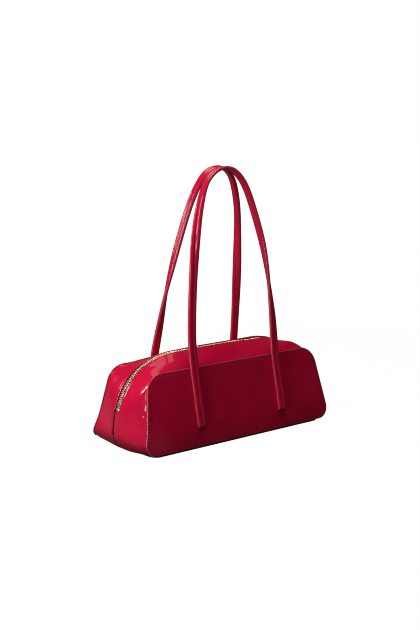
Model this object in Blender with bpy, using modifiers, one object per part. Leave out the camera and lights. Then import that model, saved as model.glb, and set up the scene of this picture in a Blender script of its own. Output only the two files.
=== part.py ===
"""Top handle bag: a soft-cornered leather body with a zip along its ridge and two long twisted straps.

Metres, +Z up. The bag stands on z = 0 with its front at -Y and its closed zip end at +X. The origin is under the
middle of the bag. Every length that can be chosen by itself is named once below, and the rest follows from those.
"""

import math

import bmesh
import bpy
from mathutils import Matrix, Vector
from mathutils.geometry import interpolate_bezier

MM = 0.001

# Body: two flat panels that lean towards each other, joined by a gusset that bulges between them
BASE_LENGTH = 310 * MM
TOP_LENGTH = 278 * MM
BASE_DEPTH = 129.7 * MM
TOP_DEPTH = 83.9 * MM
PANEL_RISE = 101.7 * MM
UPPER_CORNER_RADIUS = 26 * MM
FRONT_LOWER_CORNER_RADIUS = 16 * MM
BACK_LOWER_CORNER_RADIUS = 8.5 * MM
HEEL_RADIUS = 5 * MM
RIDGE_HEIGHT = 115.3 * MM
END_REACH = 158.7 * MM
END_ARC_RADIUS = 89.1 * MM
GUSSET_CROWN_SHARE = 0.4
SHOULDER_START = math.radians(63)

# Leather, board and lining thicknesses, and the gap between pieces that touch
SEAT_GAP = 0.3 * MM
PANEL_THICKNESS = 2.4 * MM
PANEL_EDGE_ROUND = 0.5 * MM
GUSSET_THICKNESS = 1.6 * MM
SEAM_PROUD = 0.5 * MM
SOLE_THICKNESS = 1.8 * MM
SOLE_END_INSET = 1.5 * MM
SOLE_FRONT_LEFT_INSET = 12 * MM
SOLE_BACK_LEFT_INSET = 6 * MM
SOLE_RIGHT_INSET = 28 * MM
SOLE_EDGE_ROUND = 0.4 * MM
BOARD_THICKNESS = 2.0 * MM
BOARD_END_INSET = 29 * MM
STIFFENER_THICKNESS = 1.2 * MM
STIFFENER_MARGIN = 1.0 * MM
ANCHOR_THICKNESS = 0.8 * MM
LINING_THICKNESS = 0.8 * MM
LINING_CLEARANCE = 1.0 * MM

# Slip pocket sewn to the back lining
POCKET_WIDTH = 130 * MM
POCKET_HEIGHT = 62 * MM
POCKET_FOOT = 20 * MM
POCKET_CORNER = 10 * MM
POCKET_THICKNESS = 0.8 * MM

# Straps: a sewn tab up each panel, and a free loop that twists a quarter turn on its way to the top
STRAP_WIDTH = 12.2 * MM
STRAP_THICKNESS = 5.0 * MM
STRAP_SPACING = 136 * MM
STRAP_TOP = 353 * MM
TAB_FOOT = 25.5 * MM
TAB_END_ROUND = 3 * MM
ANCHOR_WIDTH = 24 * MM
ANCHOR_HEIGHT = 58 * MM
ANCHOR_CORNER = 6 * MM
ANCHOR_FOOT = 33 * MM
LOOP_STATIONS = 44

# How the rounded foot of a tab grows to the strap's section: shares of the foot's length, width and thickness
TAB_END_SHARES = ((0.0, 0.8, 0.55), (0.4, 0.95, 0.85), (1.0, 1.0, 1.0))

# Half of a strap's section as shares of half its width and half its thickness: two rolls with a sewn valley
STRAP_SECTION_SHARES = ((1.0, 0.0), (0.86, 0.62), (0.5, 1.0), (0.0, 0.74), (-0.5, 1.0), (-0.86, 0.62))

# Each loop as shares of half the strap spacing and of the loop's rise, from its left foot to its right foot
FRONT_LOOP_SHARES = ((-1.0, 0.0), (-0.98, 0.17), (-0.83, 0.447), (-0.62, 0.72), (-0.37, 0.905), (-0.11, 0.98),
                     (0.16, 1.0), (0.40, 0.98), (0.62, 0.905), (0.80, 0.754), (0.96, 0.54), (1.02, 0.26), (1.0, 0.0))
BACK_LOOP_SHARES = ((-1.0, 0.0), (-0.94, 0.14), (-0.83, 0.37), (-0.63, 0.64), (-0.41, 0.85), (-0.15, 0.97),
                    (0.12, 1.0), (0.35, 0.985), (0.55, 0.92), (0.73, 0.765), (0.85, 0.52), (0.94, 0.25), (1.0, 0.0))
# Where the quarter turn starts and ends up each leg, left leg first, as shares of the loop's rise
FRONT_TWIST_SHARES = ((0.40, 0.95), (0.0, 0.70))
BACK_TWIST_SHARES = ((0.0, 0.62), (0.10, 0.75))
# Length of a handle of the smooth curve through a loop's points, as a share of the step between its neighbours
HANDLE_SHARE = 1 / 6

# Zip: a metal chain between two tapes, along the ridge and down both ends
ZIP_END_RISE = 48 * MM
SLOT_HALF_WIDTH = 5.0 * MM
FLAT_HALF_WIDTH = 6.0 * MM
END_SEAM_OFFSET = 4.7 * MM
TAPE_THICKNESS = 0.5 * MM
TAPE_WIDTH = 8.0 * MM
TAPE_TAIL = 11 * MM
BEAD_HALF_REACH = 3.0 * MM
BEAD_WIDTH = 0.8 * MM
TOOTH_PITCH = 2.54 * MM
TOOTH_WIDTH = 0.95 * MM
TOOTH_OVERLAP = 0.9 * MM
CHAIN_THICKNESS = 2.0 * MM
BOTTOM_STOP_LENGTH = 4.2 * MM
TOP_STOP_LENGTH = 2.2 * MM
TOP_STOP_WIDTH = 1.4 * MM
STOP_THICKNESS = 2.6 * MM
STOP_ROUND = 0.35 * MM

# Slider: two plates held apart by a wedge, with flanges that keep the teeth in
SLIDER_LENGTH = 12 * MM
SLIDER_WIDTH = 9 * MM
SLIDER_PLATE = 1.0 * MM
SLIDER_FLANGE = 0.9 * MM
SLIDER_HEADROOM = 0.3 * MM
SLIDER_REAR_CORNER = 1.6 * MM
SLIDER_FRONT_CORNER = 3.0 * MM
TAPE_SLOT_HEIGHT = 1.3 * MM
TAPE_SLOT_REACH = 2.0 * MM
WEDGE_REAR = 1.4 * MM
WEDGE_FRONT = 5.4 * MM
WEDGE_WIDE = 4.1 * MM
WEDGE_HALF_WIDTH = 1.3 * MM
CUT_OVERRUN = 1.0 * MM
BAIL_WIRE_RADIUS = 0.6 * MM
BAIL_HALF_SPAN = 3.2 * MM
BAIL_SHOULDER = 1.5 * MM
BAIL_RISE = 1.6 * MM

# Pull: a thin metal tag with an eye that turns under the bail
PULL_LENGTH = 27 * MM
PULL_WIDTH = 7.4 * MM
PULL_THICKNESS = 1.2 * MM
PULL_CORNER = 2.4 * MM
PULL_EYE_LENGTH = 4.6 * MM
PULL_EYE_WIDTH = 3.4 * MM
PULL_EYE_CORNER = 1.2 * MM
PULL_LIFT = 1.3 * MM
PULL_REST_TILT = math.radians(4.5)

# How finely round stretches are cut
PROFILE_STEPS = (3, 4, 10, 2, 5, 1, 2)
GUSSET_COLUMNS = 4
LINING_COLUMNS = 2
CORNER_STEPS = 4
SOLE_END_STEPS = 8

# Worked out from the sizes above
SOLE_HALF_LENGTH = BASE_LENGTH / 2 - SOLE_END_INSET
BOARD_HALF_LENGTH = BASE_LENGTH / 2 - BOARD_END_INSET
PANEL_LEAN = math.atan2((BASE_DEPTH - TOP_DEPTH) / 2, PANEL_RISE)
END_LEAN = math.atan2((BASE_LENGTH - TOP_LENGTH) / 2, PANEL_RISE)
FLOOR = SOLE_THICKNESS + SEAT_GAP
BOARD_TOP = FLOOR + BOARD_THICKNESS
ARC_CENTRE = Vector((END_REACH - END_ARC_RADIUS, RIDGE_HEIGHT - END_ARC_RADIUS))
STIFFENER_DEPTH = PANEL_THICKNESS + SEAT_GAP
ANCHOR_DEPTH = STIFFENER_DEPTH + STIFFENER_THICKNESS + SEAT_GAP
LINING_DEPTH = ANCHOR_DEPTH + ANCHOR_THICKNESS + SEAT_GAP
POCKET_DEPTH = LINING_DEPTH + LINING_THICKNESS + SEAT_GAP
TAPE_INSET = GUSSET_THICKNESS + SEAT_GAP
CHAIN_INSET = TAPE_INSET + TAPE_THICKNESS / 2
LINING_INSET = TAPE_INSET + TAPE_THICKNESS + LINING_CLEARANCE
ZIP_END_ANGLE = math.asin((ZIP_END_RISE - ARC_CENTRE.y) / END_ARC_RADIUS)
SLOT_END_SWEEP = SLOT_HALF_WIDTH / END_ARC_RADIUS
TAPE_INNER_EDGE = BEAD_HALF_REACH + SEAT_GAP
CHANNEL_HALF_HEIGHT = CHAIN_THICKNESS / 2 + SLIDER_HEADROOM
SLIDER_TOP = CHANNEL_HALF_HEIGHT + SLIDER_PLATE
PULL_AXIS_LIFT = SLIDER_TOP + PULL_LIFT
ACROSS = Vector((0, 1, 0))


def clear_scene():
    """Remove every object, so that a second run starts clean."""
    for obj in list(bpy.data.objects):
        bpy.data.objects.remove(obj, do_unlink=True)


def make_collection(name):
    """Return the named collection, linked to the scene."""
    found = bpy.data.collections.get(name) or bpy.data.collections.new(name)
    if name not in bpy.context.scene.collection.children:
        bpy.context.scene.collection.children.link(found)
    return found


clear_scene()
PARTS = make_collection("top_handle_bag")
CUTTERS = make_collection("cutters")


def make_material(name, colour, roughness, metallic=0.0, coat=0.0):
    """Return a Principled material of one finish."""
    material = bpy.data.materials.new(name)
    material.use_nodes = True
    shader = material.node_tree.nodes["Principled BSDF"]
    shader.inputs["Base Color"].default_value = (*colour, 1.0)
    shader.inputs["Roughness"].default_value = roughness
    shader.inputs["Metallic"].default_value = metallic
    shader.inputs["Coat Weight"].default_value = coat
    material.diffuse_color = (*colour, 1.0)
    return material


def leather(name):
    return make_material(name, (0.42, 0.006, 0.028), 0.32, coat=0.5)


def edge_leather(name):
    return make_material(name, (0.16, 0.004, 0.014), 0.4, coat=0.3)


def gilt(name):
    return make_material(name, (0.86, 0.58, 0.34), 0.24, metallic=1.0)


def zip_cloth(name):
    return make_material(name, (0.12, 0.004, 0.012), 0.85)


def lining_cloth(name):
    return make_material(name, (0.30, 0.22, 0.16), 0.9)


def board(name):
    return make_material(name, (0.33, 0.27, 0.2), 0.85)


def add_object(name, data, material, location=(0, 0, 0), rotation=(0, 0, 0), collection=None):
    """Link an object with its own material and return it."""
    obj = bpy.data.objects.new(name, data)
    if material is not None:
        data.materials.clear()
        data.materials.append(material)
    obj.location = location
    obj.rotation_euler = rotation
    (collection or PARTS).objects.link(obj)
    return obj


def add_axis(name, location):
    """Return an empty on a joint's axis."""
    empty = bpy.data.objects.new(name, None)
    empty.location = location
    empty.empty_display_size = SLIDER_LENGTH
    PARTS.objects.link(empty)
    return empty


def hang_on(obj, axis):
    """Parent an object to an axis without moving it."""
    obj.parent = axis
    obj.location = Vector(obj.location) - Vector(axis.location)


def smooth(mesh):
    """Shade a mesh smooth but for its sharp edges."""
    mesh.shade_smooth()
    mesh.set_sharp_from_angle(angle=math.radians(35))


def mesh_from(name, bm):
    """Turn a bmesh into a mesh with its faces pointing out."""
    bmesh.ops.recalc_face_normals(bm, faces=bm.faces)
    mesh = bpy.data.meshes.new(name)
    bm.to_mesh(mesh)
    bm.free()
    smooth(mesh)
    return mesh


# Outlines in a plane, walked from the top middle to the right and round to the foot


class Line:
    """A straight stretch of an outline."""

    def __init__(self, start, end):
        self.start, self.end = Vector(start), Vector(end)
        self.length = (self.end - self.start).length

    def at(self, share):
        return self.start.lerp(self.end, share)

    def normal(self, share):
        along = (self.end - self.start).normalized()
        return Vector((-along.y, along.x))


class Arc:
    """A clockwise round stretch of an outline, between two angles."""

    def __init__(self, centre, radius, start, end):
        self.centre, self.radius, self.start, self.end = Vector(centre), radius, start, end
        self.length = radius * (start - end)

    def normal(self, share):
        angle = self.start + (self.end - self.start) * share
        return Vector((math.cos(angle), math.sin(angle)))

    def at(self, share):
        return self.centre + self.radius * self.normal(share)


class Outline:
    """Stretches end to end. A walk of 2.5 is halfway along the third stretch."""

    def __init__(self, stretches):
        self.stretches = stretches

    def _split(self, walk):
        index = min(int(walk), len(self.stretches) - 1)
        return self.stretches[index], walk - index

    def at(self, walk):
        stretch, share = self._split(walk)
        return stretch.at(share)

    def normal(self, walk):
        stretch, share = self._split(walk)
        return stretch.normal(share)

    def walk_at_length(self, length):
        for index, stretch in enumerate(self.stretches):
            if length <= stretch.length:
                return index + length / stretch.length
            length -= stretch.length
        return float(len(self.stretches))

    def length_at_walk(self, walk):
        stretch, share = self._split(walk)
        index = self.stretches.index(stretch)
        return sum(s.length for s in self.stretches[:index]) + share * stretch.length


def panel_outline(side, inset, foot):
    """Right half of a panel's outline, as x and height, set in from the panel's edge and cut off at its foot."""
    top = PANEL_RISE - inset
    reach = BASE_LENGTH / 2 * math.cos(END_LEAN) - inset
    upper = UPPER_CORNER_RADIUS - inset
    lower = (FRONT_LOWER_CORNER_RADIUS if side < 0 else BACK_LOWER_CORNER_RADIUS) - inset
    seat = BOARD_HALF_LENGTH + SEAT_GAP

    def corner(radius, height):
        return Vector(((reach - radius - height * math.sin(END_LEAN)) / math.cos(END_LEAN), height))

    high, low = corner(upper, top - upper), corner(lower, foot + lower)
    edge = Vector((math.cos(END_LEAN), math.sin(END_LEAN)))
    return Outline([
        Line((0, top), (ARC_CENTRE.x, top)),
        Line((ARC_CENTRE.x, top), (high.x, top)),
        Arc(high, upper, math.pi / 2, END_LEAN),
        Line(high + edge * upper, low + edge * lower),
        Arc(low, lower, END_LEAN, -math.pi / 2),
        Line((low.x, foot), (seat, foot)),
        Line((seat, foot), (0, foot)),
    ])


def centre_profile(inset):
    """Right half of the body's outline in its middle plane, with the same stretches as a panel's outline."""
    radius = END_ARC_RADIUS - inset
    heel_height = FLOOR + HEEL_RADIUS
    seat = BOARD_HALF_LENGTH + SEAT_GAP
    drop = heel_height - ARC_CENTRE.y
    heel = Vector((ARC_CENTRE.x + math.sqrt((END_ARC_RADIUS - HEEL_RADIUS) ** 2 - drop ** 2), heel_height))
    heel_angle = math.atan2(drop, heel.x - ARC_CENTRE.x)
    foot = FLOOR + inset
    return Outline([
        Line((0, ARC_CENTRE.y + radius), (ARC_CENTRE.x, ARC_CENTRE.y + radius)),
        Arc(ARC_CENTRE, radius, math.pi / 2, SHOULDER_START),
        Arc(ARC_CENTRE, radius, SHOULDER_START, END_LEAN),
        Arc(ARC_CENTRE, radius, END_LEAN, heel_angle),
        Arc(heel, HEEL_RADIUS - inset, heel_angle, -math.pi / 2),
        Line((heel.x, foot), (seat, foot)),
        Line((seat, foot), (0, foot)),
    ])


def walk_at_angle(angle):
    """Walk along the centre profile to an angle of its big end arc."""
    marks = [(arc.start, arc.end) for arc in centre_profile(0).stretches[1:4]]
    for index, (start, end) in enumerate(marks, 1):
        if angle >= end or index == len(marks):
            return index + (start - angle) / (start - end)


def face_y(height, depth):
    """Distance of a panel's face from the middle plane at a height, at a depth behind the face."""
    return BASE_DEPTH / 2 - height * math.tan(PANEL_LEAN) - depth / math.cos(PANEL_LEAN)


def foot_above(height, depth):
    """Foot of an upright plate, so that its back edge at this depth stays above a height."""
    return height + depth * math.sin(PANEL_LEAN)


class Skin:
    """One side's bulging surface, from its panel's outline to the middle, at an inset from the leather's outer face."""

    def __init__(self, side, inset, depth):
        self.side = side
        self.seam = panel_outline(side, SEAM_PROUD + inset, FLOOR + inset)
        self.profile = centre_profile(inset)
        self.depth = depth

    def share_at(self, walk, reach):
        """Share of the way from the seam to the middle where the surface is this far from the middle plane."""
        return 1 - reach / face_y(self.seam.at(abs(walk)).y, self.depth)

    def point(self, walk, share):
        """Point at a walk round the half that its sign names, a share of the way from the seam to the middle."""
        hand = -1 if walk < 0 else 1
        seam, middle = self.seam.at(abs(walk)), self.profile.at(abs(walk))
        # The skin bulges up to the strip beside the zip, which lies flat
        climb = min(share / self.share_at(walk, FLAT_HALF_WIDTH), 1.0)
        rise = climb * (1 + GUSSET_CROWN_SHARE * (1 - climb))
        place = seam.lerp(middle, rise)
        return Vector((hand * place.x, self.side * face_y(seam.y, self.depth) * (1 - share), place.y))


def walks_round(stretches):
    """Walks along the right half's first stretches, the same for every layer so that the layers stay apart."""
    walks = {0.0, *slot_walks(), tape_end_walk()}
    for index, steps in enumerate(PROFILE_STEPS[:stretches]):
        walks.update(index + step / steps for step in range(1, steps + 1))
    return sorted(walks)


def both_hands(walks):
    """The same walks down the left half and the right half, as one run from left to right."""
    return [-walk for walk in reversed(walks) if walk > 0] + list(walks)


def slot_walks():
    """Walks at the end of the zip's slot, where its edges close in to the seam below."""
    angles = (ZIP_END_ANGLE, ZIP_END_ANGLE - SLOT_END_SWEEP / 2, ZIP_END_ANGLE - SLOT_END_SWEEP)
    return [walk_at_angle(angle) for angle in angles]


def tape_end_walk():
    """Walk at the ends of the zip's tapes, under the leather below the slot."""
    return walk_at_angle(ZIP_END_ANGLE - TAPE_TAIL / END_ARC_RADIUS)


def slot_reach(walk, half_width, closed):
    """How far an edge lies on its own side of the middle plane: open beside the zip, closed below it."""
    open_until, _, closed_from = slot_walks()
    share = min(max((abs(walk) - open_until) / (closed_from - open_until), 0.0), 1.0)
    return closed + (half_width - closed) * math.sqrt(1 - share ** 2)


# Lofts and plates


def loft(name, sections, band=False):
    """Join closed sections of as many points each into one closed body, as a band or with flat ends."""
    bm = bmesh.new()
    rings = [[bm.verts.new(point) for point in section] for section in sections]
    count = len(rings[0])
    for ring, following in zip(rings, rings[1:]):
        for i in range(count):
            j = (i + 1) % count
            bm.faces.new((ring[i], ring[j], following[j], following[i]))
    for ring in (rings[0], rings[-1]):
        if band:
            for i in range(count // 2 - 1):
                bm.faces.new((ring[i], ring[i + 1], ring[count - 2 - i], ring[count - 1 - i]))
        else:
            bm.faces.new(ring)
    return mesh_from(name, bm)


def rounded_rectangle(low, high, radius, steps=CORNER_STEPS):
    """Points round a rectangle between two corners, with a radius or one radius for each corner."""
    radii = radius if isinstance(radius, tuple) else (radius,) * 4
    (left, bottom), (right, top) = low, high
    a, b, c, d = radii
    centres = ((right - a, top - a), (left + b, top - b), (left + c, bottom + c), (right - d, bottom + d))
    points = []
    for turn, (place, r) in enumerate(zip(centres, radii)):
        centre = Vector(place)
        for step in range(steps + 1):
            angle = math.pi / 2 * (turn + step / steps)
            points.append(centre + r * Vector((math.cos(angle), math.sin(angle))))
    return points


def flat_curve(name, outlines, thickness, edge_round=0.0):
    """A filled flat curve with a thickness, rounded at its edges. Any outline inside another is a hole."""
    curve = bpy.data.curves.new(name, "CURVE")
    curve.dimensions = "2D"
    curve.fill_mode = "BOTH"
    curve.extrude = thickness / 2 - edge_round
    curve.bevel_depth = edge_round
    curve.bevel_resolution = 0
    curve.offset = -edge_round
    for outline in outlines:
        spline = curve.splines.new("POLY")
        spline.points.add(len(outline[1:]))
        for point, place in zip(spline.points, outline):
            point.co = (place[0], place[1], 0, 1)
        spline.use_cyclic_u = True
    return curve


def panel_points(side, inset, foot):
    """All round a panel's outline, as x and the distance up its slope."""
    outline = panel_outline(side, inset, foot)
    half = [outline.at(walk) for walk in walks_round(6)[:-1]]
    points = half + [Vector((-point.x, point.y)) for point in half[:0:-1]]
    return [Vector((point.x, point.y / math.cos(PANEL_LEAN))) for point in points]


def lean_plate(name, side, depth, outlines, thickness, material, edge_round=0.0):
    """A flat plate parallel to a panel, with its outer face at a depth behind the panel's face.

    Its outlines are given as x and the distance up the slope. The back's plate is turned round, so its x is flipped.
    """
    outlines = [[(point[0] * -side, point[1]) for point in outline] for outline in outlines]
    middle = depth + thickness / 2
    location = (0, side * (BASE_DEPTH / 2 - middle * math.cos(PANEL_LEAN)), -middle * math.sin(PANEL_LEAN))
    turn = 0 if side < 0 else math.pi
    curve = flat_curve(name, outlines, thickness, edge_round)
    return add_object(name, curve, material, location, (math.pi / 2 - PANEL_LEAN, 0, turn))


def box(name, size, material, location=(0, 0, 0), rotation=(0, 0, 0), edge_round=0.0, collection=None):
    """A block of full sizes along its own axes, with rounded edges."""
    bm = bmesh.new()
    bmesh.ops.create_cube(bm, size=1.0, matrix=Matrix.Diagonal((*size, 1)))
    obj = add_object(name, mesh_from(name, bm), material, location, rotation, collection)
    if edge_round:
        bevel = obj.modifiers.new("edges", "BEVEL")
        bevel.width = edge_round
        bevel.segments = 1
    return obj


# Leather body, boards and lining


def name_on(side, piece):
    return f"{'front' if side < 0 else 'back'}_{piece}"


def make_panel(side):
    """One flat leather face, with its rounded edge just proud of the gusset."""
    name = name_on(side, "panel")
    points = panel_points(side, 0, foot_above(FLOOR, PANEL_THICKNESS))
    lean_plate(name, side, 0, [points], PANEL_THICKNESS, leather(name), PANEL_EDGE_ROUND)


def band_section(outer, inner, walk, reaches, columns=0):
    """A cross-section of a band: out along its outer face and back along its inner one.

    The band passes points this far from the middle plane, after evenly spaced columns up from the seam if any.
    """
    points = []
    for skin in (outer, inner):
        marks = [skin.share_at(walk, reach) for reach in reaches]
        shares = [marks[0] * i / columns for i in range(columns)] + marks
        row = [skin.point(walk, share) for share in shares]
        points += row if skin is outer else row[::-1]
    return points


def make_gusset(side):
    """Half of the gusset: up one end, along the ridge beside the zip, and down the other end to the sole.

    Below the zip the two halves meet in line with the back edge of the slot.
    """
    name = name_on(side, "gusset")
    depth = PANEL_THICKNESS + SEAT_GAP
    outer, inner = Skin(side, 0, depth), Skin(side, GUSSET_THICKNESS, depth)
    closed = side * END_SEAM_OFFSET + SEAT_GAP / 2
    sections = [
        band_section(outer, inner, walk, (FLAT_HALF_WIDTH, slot_reach(walk, SLOT_HALF_WIDTH, closed)),
                     GUSSET_COLUMNS)
        for walk in both_hands(walks_round(6))
    ]
    add_object(name, loft(name, sections, band=True), leather(name))


def bowed_end(hand, front_inset, back_inset):
    """Points of one end of the sole, bowed from its front corner out to its furthest reach and in to the back."""
    points = []
    for step in range(SOLE_END_STEPS + 1):
        across = step / SOLE_END_STEPS * 2 - 1
        bow = (front_inset if across < 0 else back_inset) - SOLE_END_INSET
        points.append(Vector((hand * (SOLE_HALF_LENGTH - bow * across ** 2), BASE_DEPTH / 2 * across)))
    return points


def make_sole():
    """The leather sole that the bag stands on. Its right end is cut rounder than its left one."""
    name = "base_panel"
    right = bowed_end(1, SOLE_RIGHT_INSET, SOLE_RIGHT_INSET)
    points = right + bowed_end(-1, SOLE_FRONT_LEFT_INSET, SOLE_BACK_LEFT_INSET)[::-1]
    curve = flat_curve(name, [points], SOLE_THICKNESS, SOLE_EDGE_ROUND)
    add_object(name, curve, edge_leather(name), (0, 0, SOLE_THICKNESS / 2))


def make_base_board():
    """The stiff board over the sole, between the ends of the gusset."""
    name = "base_board"
    half_depth = face_y(BOARD_TOP, PANEL_THICKNESS) - SEAT_GAP
    size = ((BOARD_HALF_LENGTH - SEAT_GAP) * 2, half_depth * 2, BOARD_THICKNESS)
    box(name, size, board(name), (0, 0, FLOOR + BOARD_THICKNESS / 2))


def make_stiffener(side):
    """The board behind a panel, standing on the base board."""
    name = name_on(side, "stiffener")
    inset = SEAM_PROUD + GUSSET_THICKNESS + STIFFENER_MARGIN
    foot = foot_above(BOARD_TOP + SEAT_GAP, STIFFENER_DEPTH + STIFFENER_THICKNESS)
    lean_plate(name, side, STIFFENER_DEPTH, [panel_points(side, inset, foot)], STIFFENER_THICKNESS, board(name))


def make_lining(side):
    """Half of the cloth lining, a shallow pan that is open towards the zip and meets the other half below it."""
    name = name_on(side, "lining")
    skin = Skin(side, LINING_INSET, LINING_DEPTH)
    mouth = TAPE_INNER_EDGE + TAPE_WIDTH / 2
    closed = SEAT_GAP / 2 + LINING_THICKNESS / 2
    walks = both_hands(walks_round(7))[1:]
    bm = bmesh.new()
    rows = []
    for column in range(LINING_COLUMNS + 1):
        row = []
        for walk in walks:
            end = skin.share_at(walk, slot_reach(walk, mouth, closed))
            row.append(bm.verts.new(skin.point(walk, end * column / LINING_COLUMNS)))
        rows.append(row)
    for row, following in zip(rows, rows[1:]):
        for i in range(len(walks)):
            j = (i + 1) % len(walks)
            bm.faces.new((row[i], row[j], following[j], following[i]))
    face = bm.faces.new(rows[0])
    mesh = mesh_from(name, bm)
    obj = add_object(name, mesh, lining_cloth(name))
    face_normal = next(p.normal for p in mesh.polygons if len(p.vertices) > 4)
    wall = obj.modifiers.new("wall", "SOLIDIFY")
    wall.thickness = LINING_THICKNESS
    wall.offset = -1 if face_normal.y * side > 0 else 1


def make_pocket():
    """The slip pocket on the back lining."""
    name = "slip_pocket"
    foot = (POCKET_FOOT + POCKET_DEPTH * math.sin(PANEL_LEAN)) / math.cos(PANEL_LEAN)
    radii = (SEAT_GAP, SEAT_GAP, POCKET_CORNER, POCKET_CORNER)
    points = rounded_rectangle((-POCKET_WIDTH / 2, foot), (POCKET_WIDTH / 2, foot + POCKET_HEIGHT), radii)
    lean_plate(name, 1, POCKET_DEPTH, [points], POCKET_THICKNESS, lining_cloth(name))


def make_anchor(side, hand):
    """The patch inside a panel that takes the pull of one strap end."""
    name = name_on(side, f"{hand_name(hand)}_anchor")
    middle = hand * STRAP_SPACING / 2
    foot = ANCHOR_FOOT / math.cos(PANEL_LEAN)
    points = rounded_rectangle((middle - ANCHOR_WIDTH / 2, foot), (middle + ANCHOR_WIDTH / 2, foot + ANCHOR_HEIGHT),
                               ANCHOR_CORNER)
    lean_plate(name, side, ANCHOR_DEPTH, [points], ANCHOR_THICKNESS, board(name))


def hand_name(hand):
    return "left" if hand < 0 else "right"


# Straps


class StrapPlace:
    """Where a strap sits on one side: its tabs on the panel, its pivot at their tops and its leaning loop."""

    def __init__(self, side):
        self.side = side
        self.out = Vector((0, side * math.cos(PANEL_LEAN), math.sin(PANEL_LEAN)))
        self.slope = Vector((0, -side * math.sin(PANEL_LEAN), math.cos(PANEL_LEAN)))
        self.face_foot = Vector((0, side * BASE_DEPTH / 2, 0))
        tab_top = self.on_panel(PANEL_RISE, SEAT_GAP + STRAP_THICKNESS)
        self.pivot = tab_top + self.slope * SEAT_GAP / 2
        apex = Vector((0, side * (STRAP_WIDTH + SEAT_GAP) / 2, STRAP_TOP - STRAP_THICKNESS / 2))
        rise = apex - self.pivot
        # The loop's plane leans from the pivot to the apex, less the half thickness that the apex lies inside it
        span = math.hypot(rise.y, rise.z)
        lean = math.atan2(abs(rise.y), rise.z) - math.asin(STRAP_THICKNESS / 2 / span)
        self.up = Vector((0, -side * math.sin(lean), math.cos(lean)))
        self.face = Vector((0, side * math.cos(lean), math.sin(lean)))
        self.foot = self.pivot + self.up * SEAT_GAP / 2 - self.face * STRAP_THICKNESS / 2
        self.rise = (apex - self.foot).dot(self.up)

    def on_panel(self, height, proud):
        """Point on a panel's middle line at a height of its face, standing proud of it."""
        return self.face_foot + self.slope * height / math.cos(PANEL_LEAN) + self.out * proud


def strap_section(middle, across, outward, width_share=1.0, thickness_share=1.0):
    """A strap's section round a point: two rolls with a valley between them, on both faces."""
    upper = STRAP_SECTION_SHARES
    shares = list(upper) + [(-x, -y) for x, y in upper]
    half_width = STRAP_WIDTH / 2 * width_share
    half_thickness = STRAP_THICKNESS / 2 * thickness_share
    return [middle + across * half_width * x + outward * half_thickness * y for x, y in shares]


def make_tab(side, hand):
    """The sewn end of a strap, flat up the panel from its rounded foot to the top seam."""
    name = name_on(side, f"{hand_name(hand)}_tab")
    place = StrapPlace(side)
    across = Vector((1, 0, 0))
    x = hand * STRAP_SPACING / 2
    middle_proud = SEAT_GAP + STRAP_THICKNESS / 2
    sections = []
    for share, width_share, thickness_share in TAB_END_SHARES:
        proud = middle_proud - STRAP_THICKNESS / 2 * (1 - thickness_share)
        middle = place.on_panel(TAB_FOOT + TAB_END_ROUND * share, proud) + across * x
        sections.append(strap_section(middle, across, place.out, width_share, thickness_share))
    top = place.on_panel(PANEL_RISE, middle_proud) + across * x
    sections.append(strap_section(top, across, place.out))
    add_object(name, loft(name, sections), leather(name))


def smooth_path(points, steps):
    """Even stations along a smooth curve through points in a plane."""
    fine = []
    padded = [points[0] * 2 - points[1], *points, points[-1] * 2 - points[-2]]
    for a, b, c, d in zip(padded, padded[1:], padded[2:], padded[3:]):
        knots = (b, b + (c - a) * HANDLE_SHARE, c - (d - b) * HANDLE_SHARE, c)
        fine += interpolate_bezier(*knots, steps + 1)[:-1]
    fine = [Vector(point) for point in fine] + [points[-1]]
    reach = [0.0]
    for a, b in zip(fine, fine[1:]):
        reach.append(reach[-1] + (b - a).length)
    stations, index = [], 0
    for station in range(steps + 1):
        target = reach[-1] * station / steps
        while index < len(fine) - 2 and reach[index + 1] < target:
            index += 1
        share = (target - reach[index]) / (reach[index + 1] - reach[index])
        stations.append(fine[index].lerp(fine[index + 1], share))
    return stations


def twist_at(height_share, limits):
    """Quarter-turn angle at a share of the loop's rise."""
    start, end = limits
    share = min(max((height_share - start) / (end - start), 0.0), 1.0)
    return math.pi / 2 * share ** 2 * (3 - 2 * share)


def make_loop(side, loop_shares, twists):
    """The free loop of one strap, in a plane that leans to the other strap, turned to lie flat at its top."""
    name = name_on(side, "strap")
    place = StrapPlace(side)
    right = Vector((1, 0, 0))
    spots = [Vector((x * STRAP_SPACING / 2, h * place.rise)) for x, h in loop_shares]
    path = smooth_path(spots, LOOP_STATIONS)
    sections = []
    for index, spot in enumerate(path):
        before, after = path[max(index - 1, 0)], path[min(index + 1, len(path) - 1)]
        along = (after - before).normalized()
        if index in (0, len(path) - 1):
            along = Vector((0, 1 if index == 0 else -1))
        inplane = right * -along.y + place.up * along.x
        twist = twist_at(spot.y / place.rise, twists[0 if index < path.index(max(path, key=lambda p: p.y)) else 1])
        outward = place.face * math.cos(twist) + inplane * math.sin(twist)
        direction = right * along.x + place.up * along.y
        middle = place.foot + right * spot.x + place.up * spot.y - place.pivot
        sections.append(strap_section(middle, direction.cross(outward), outward))
    add_object(name, loft(name, sections), leather(name), place.pivot)


# Zip


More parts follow.
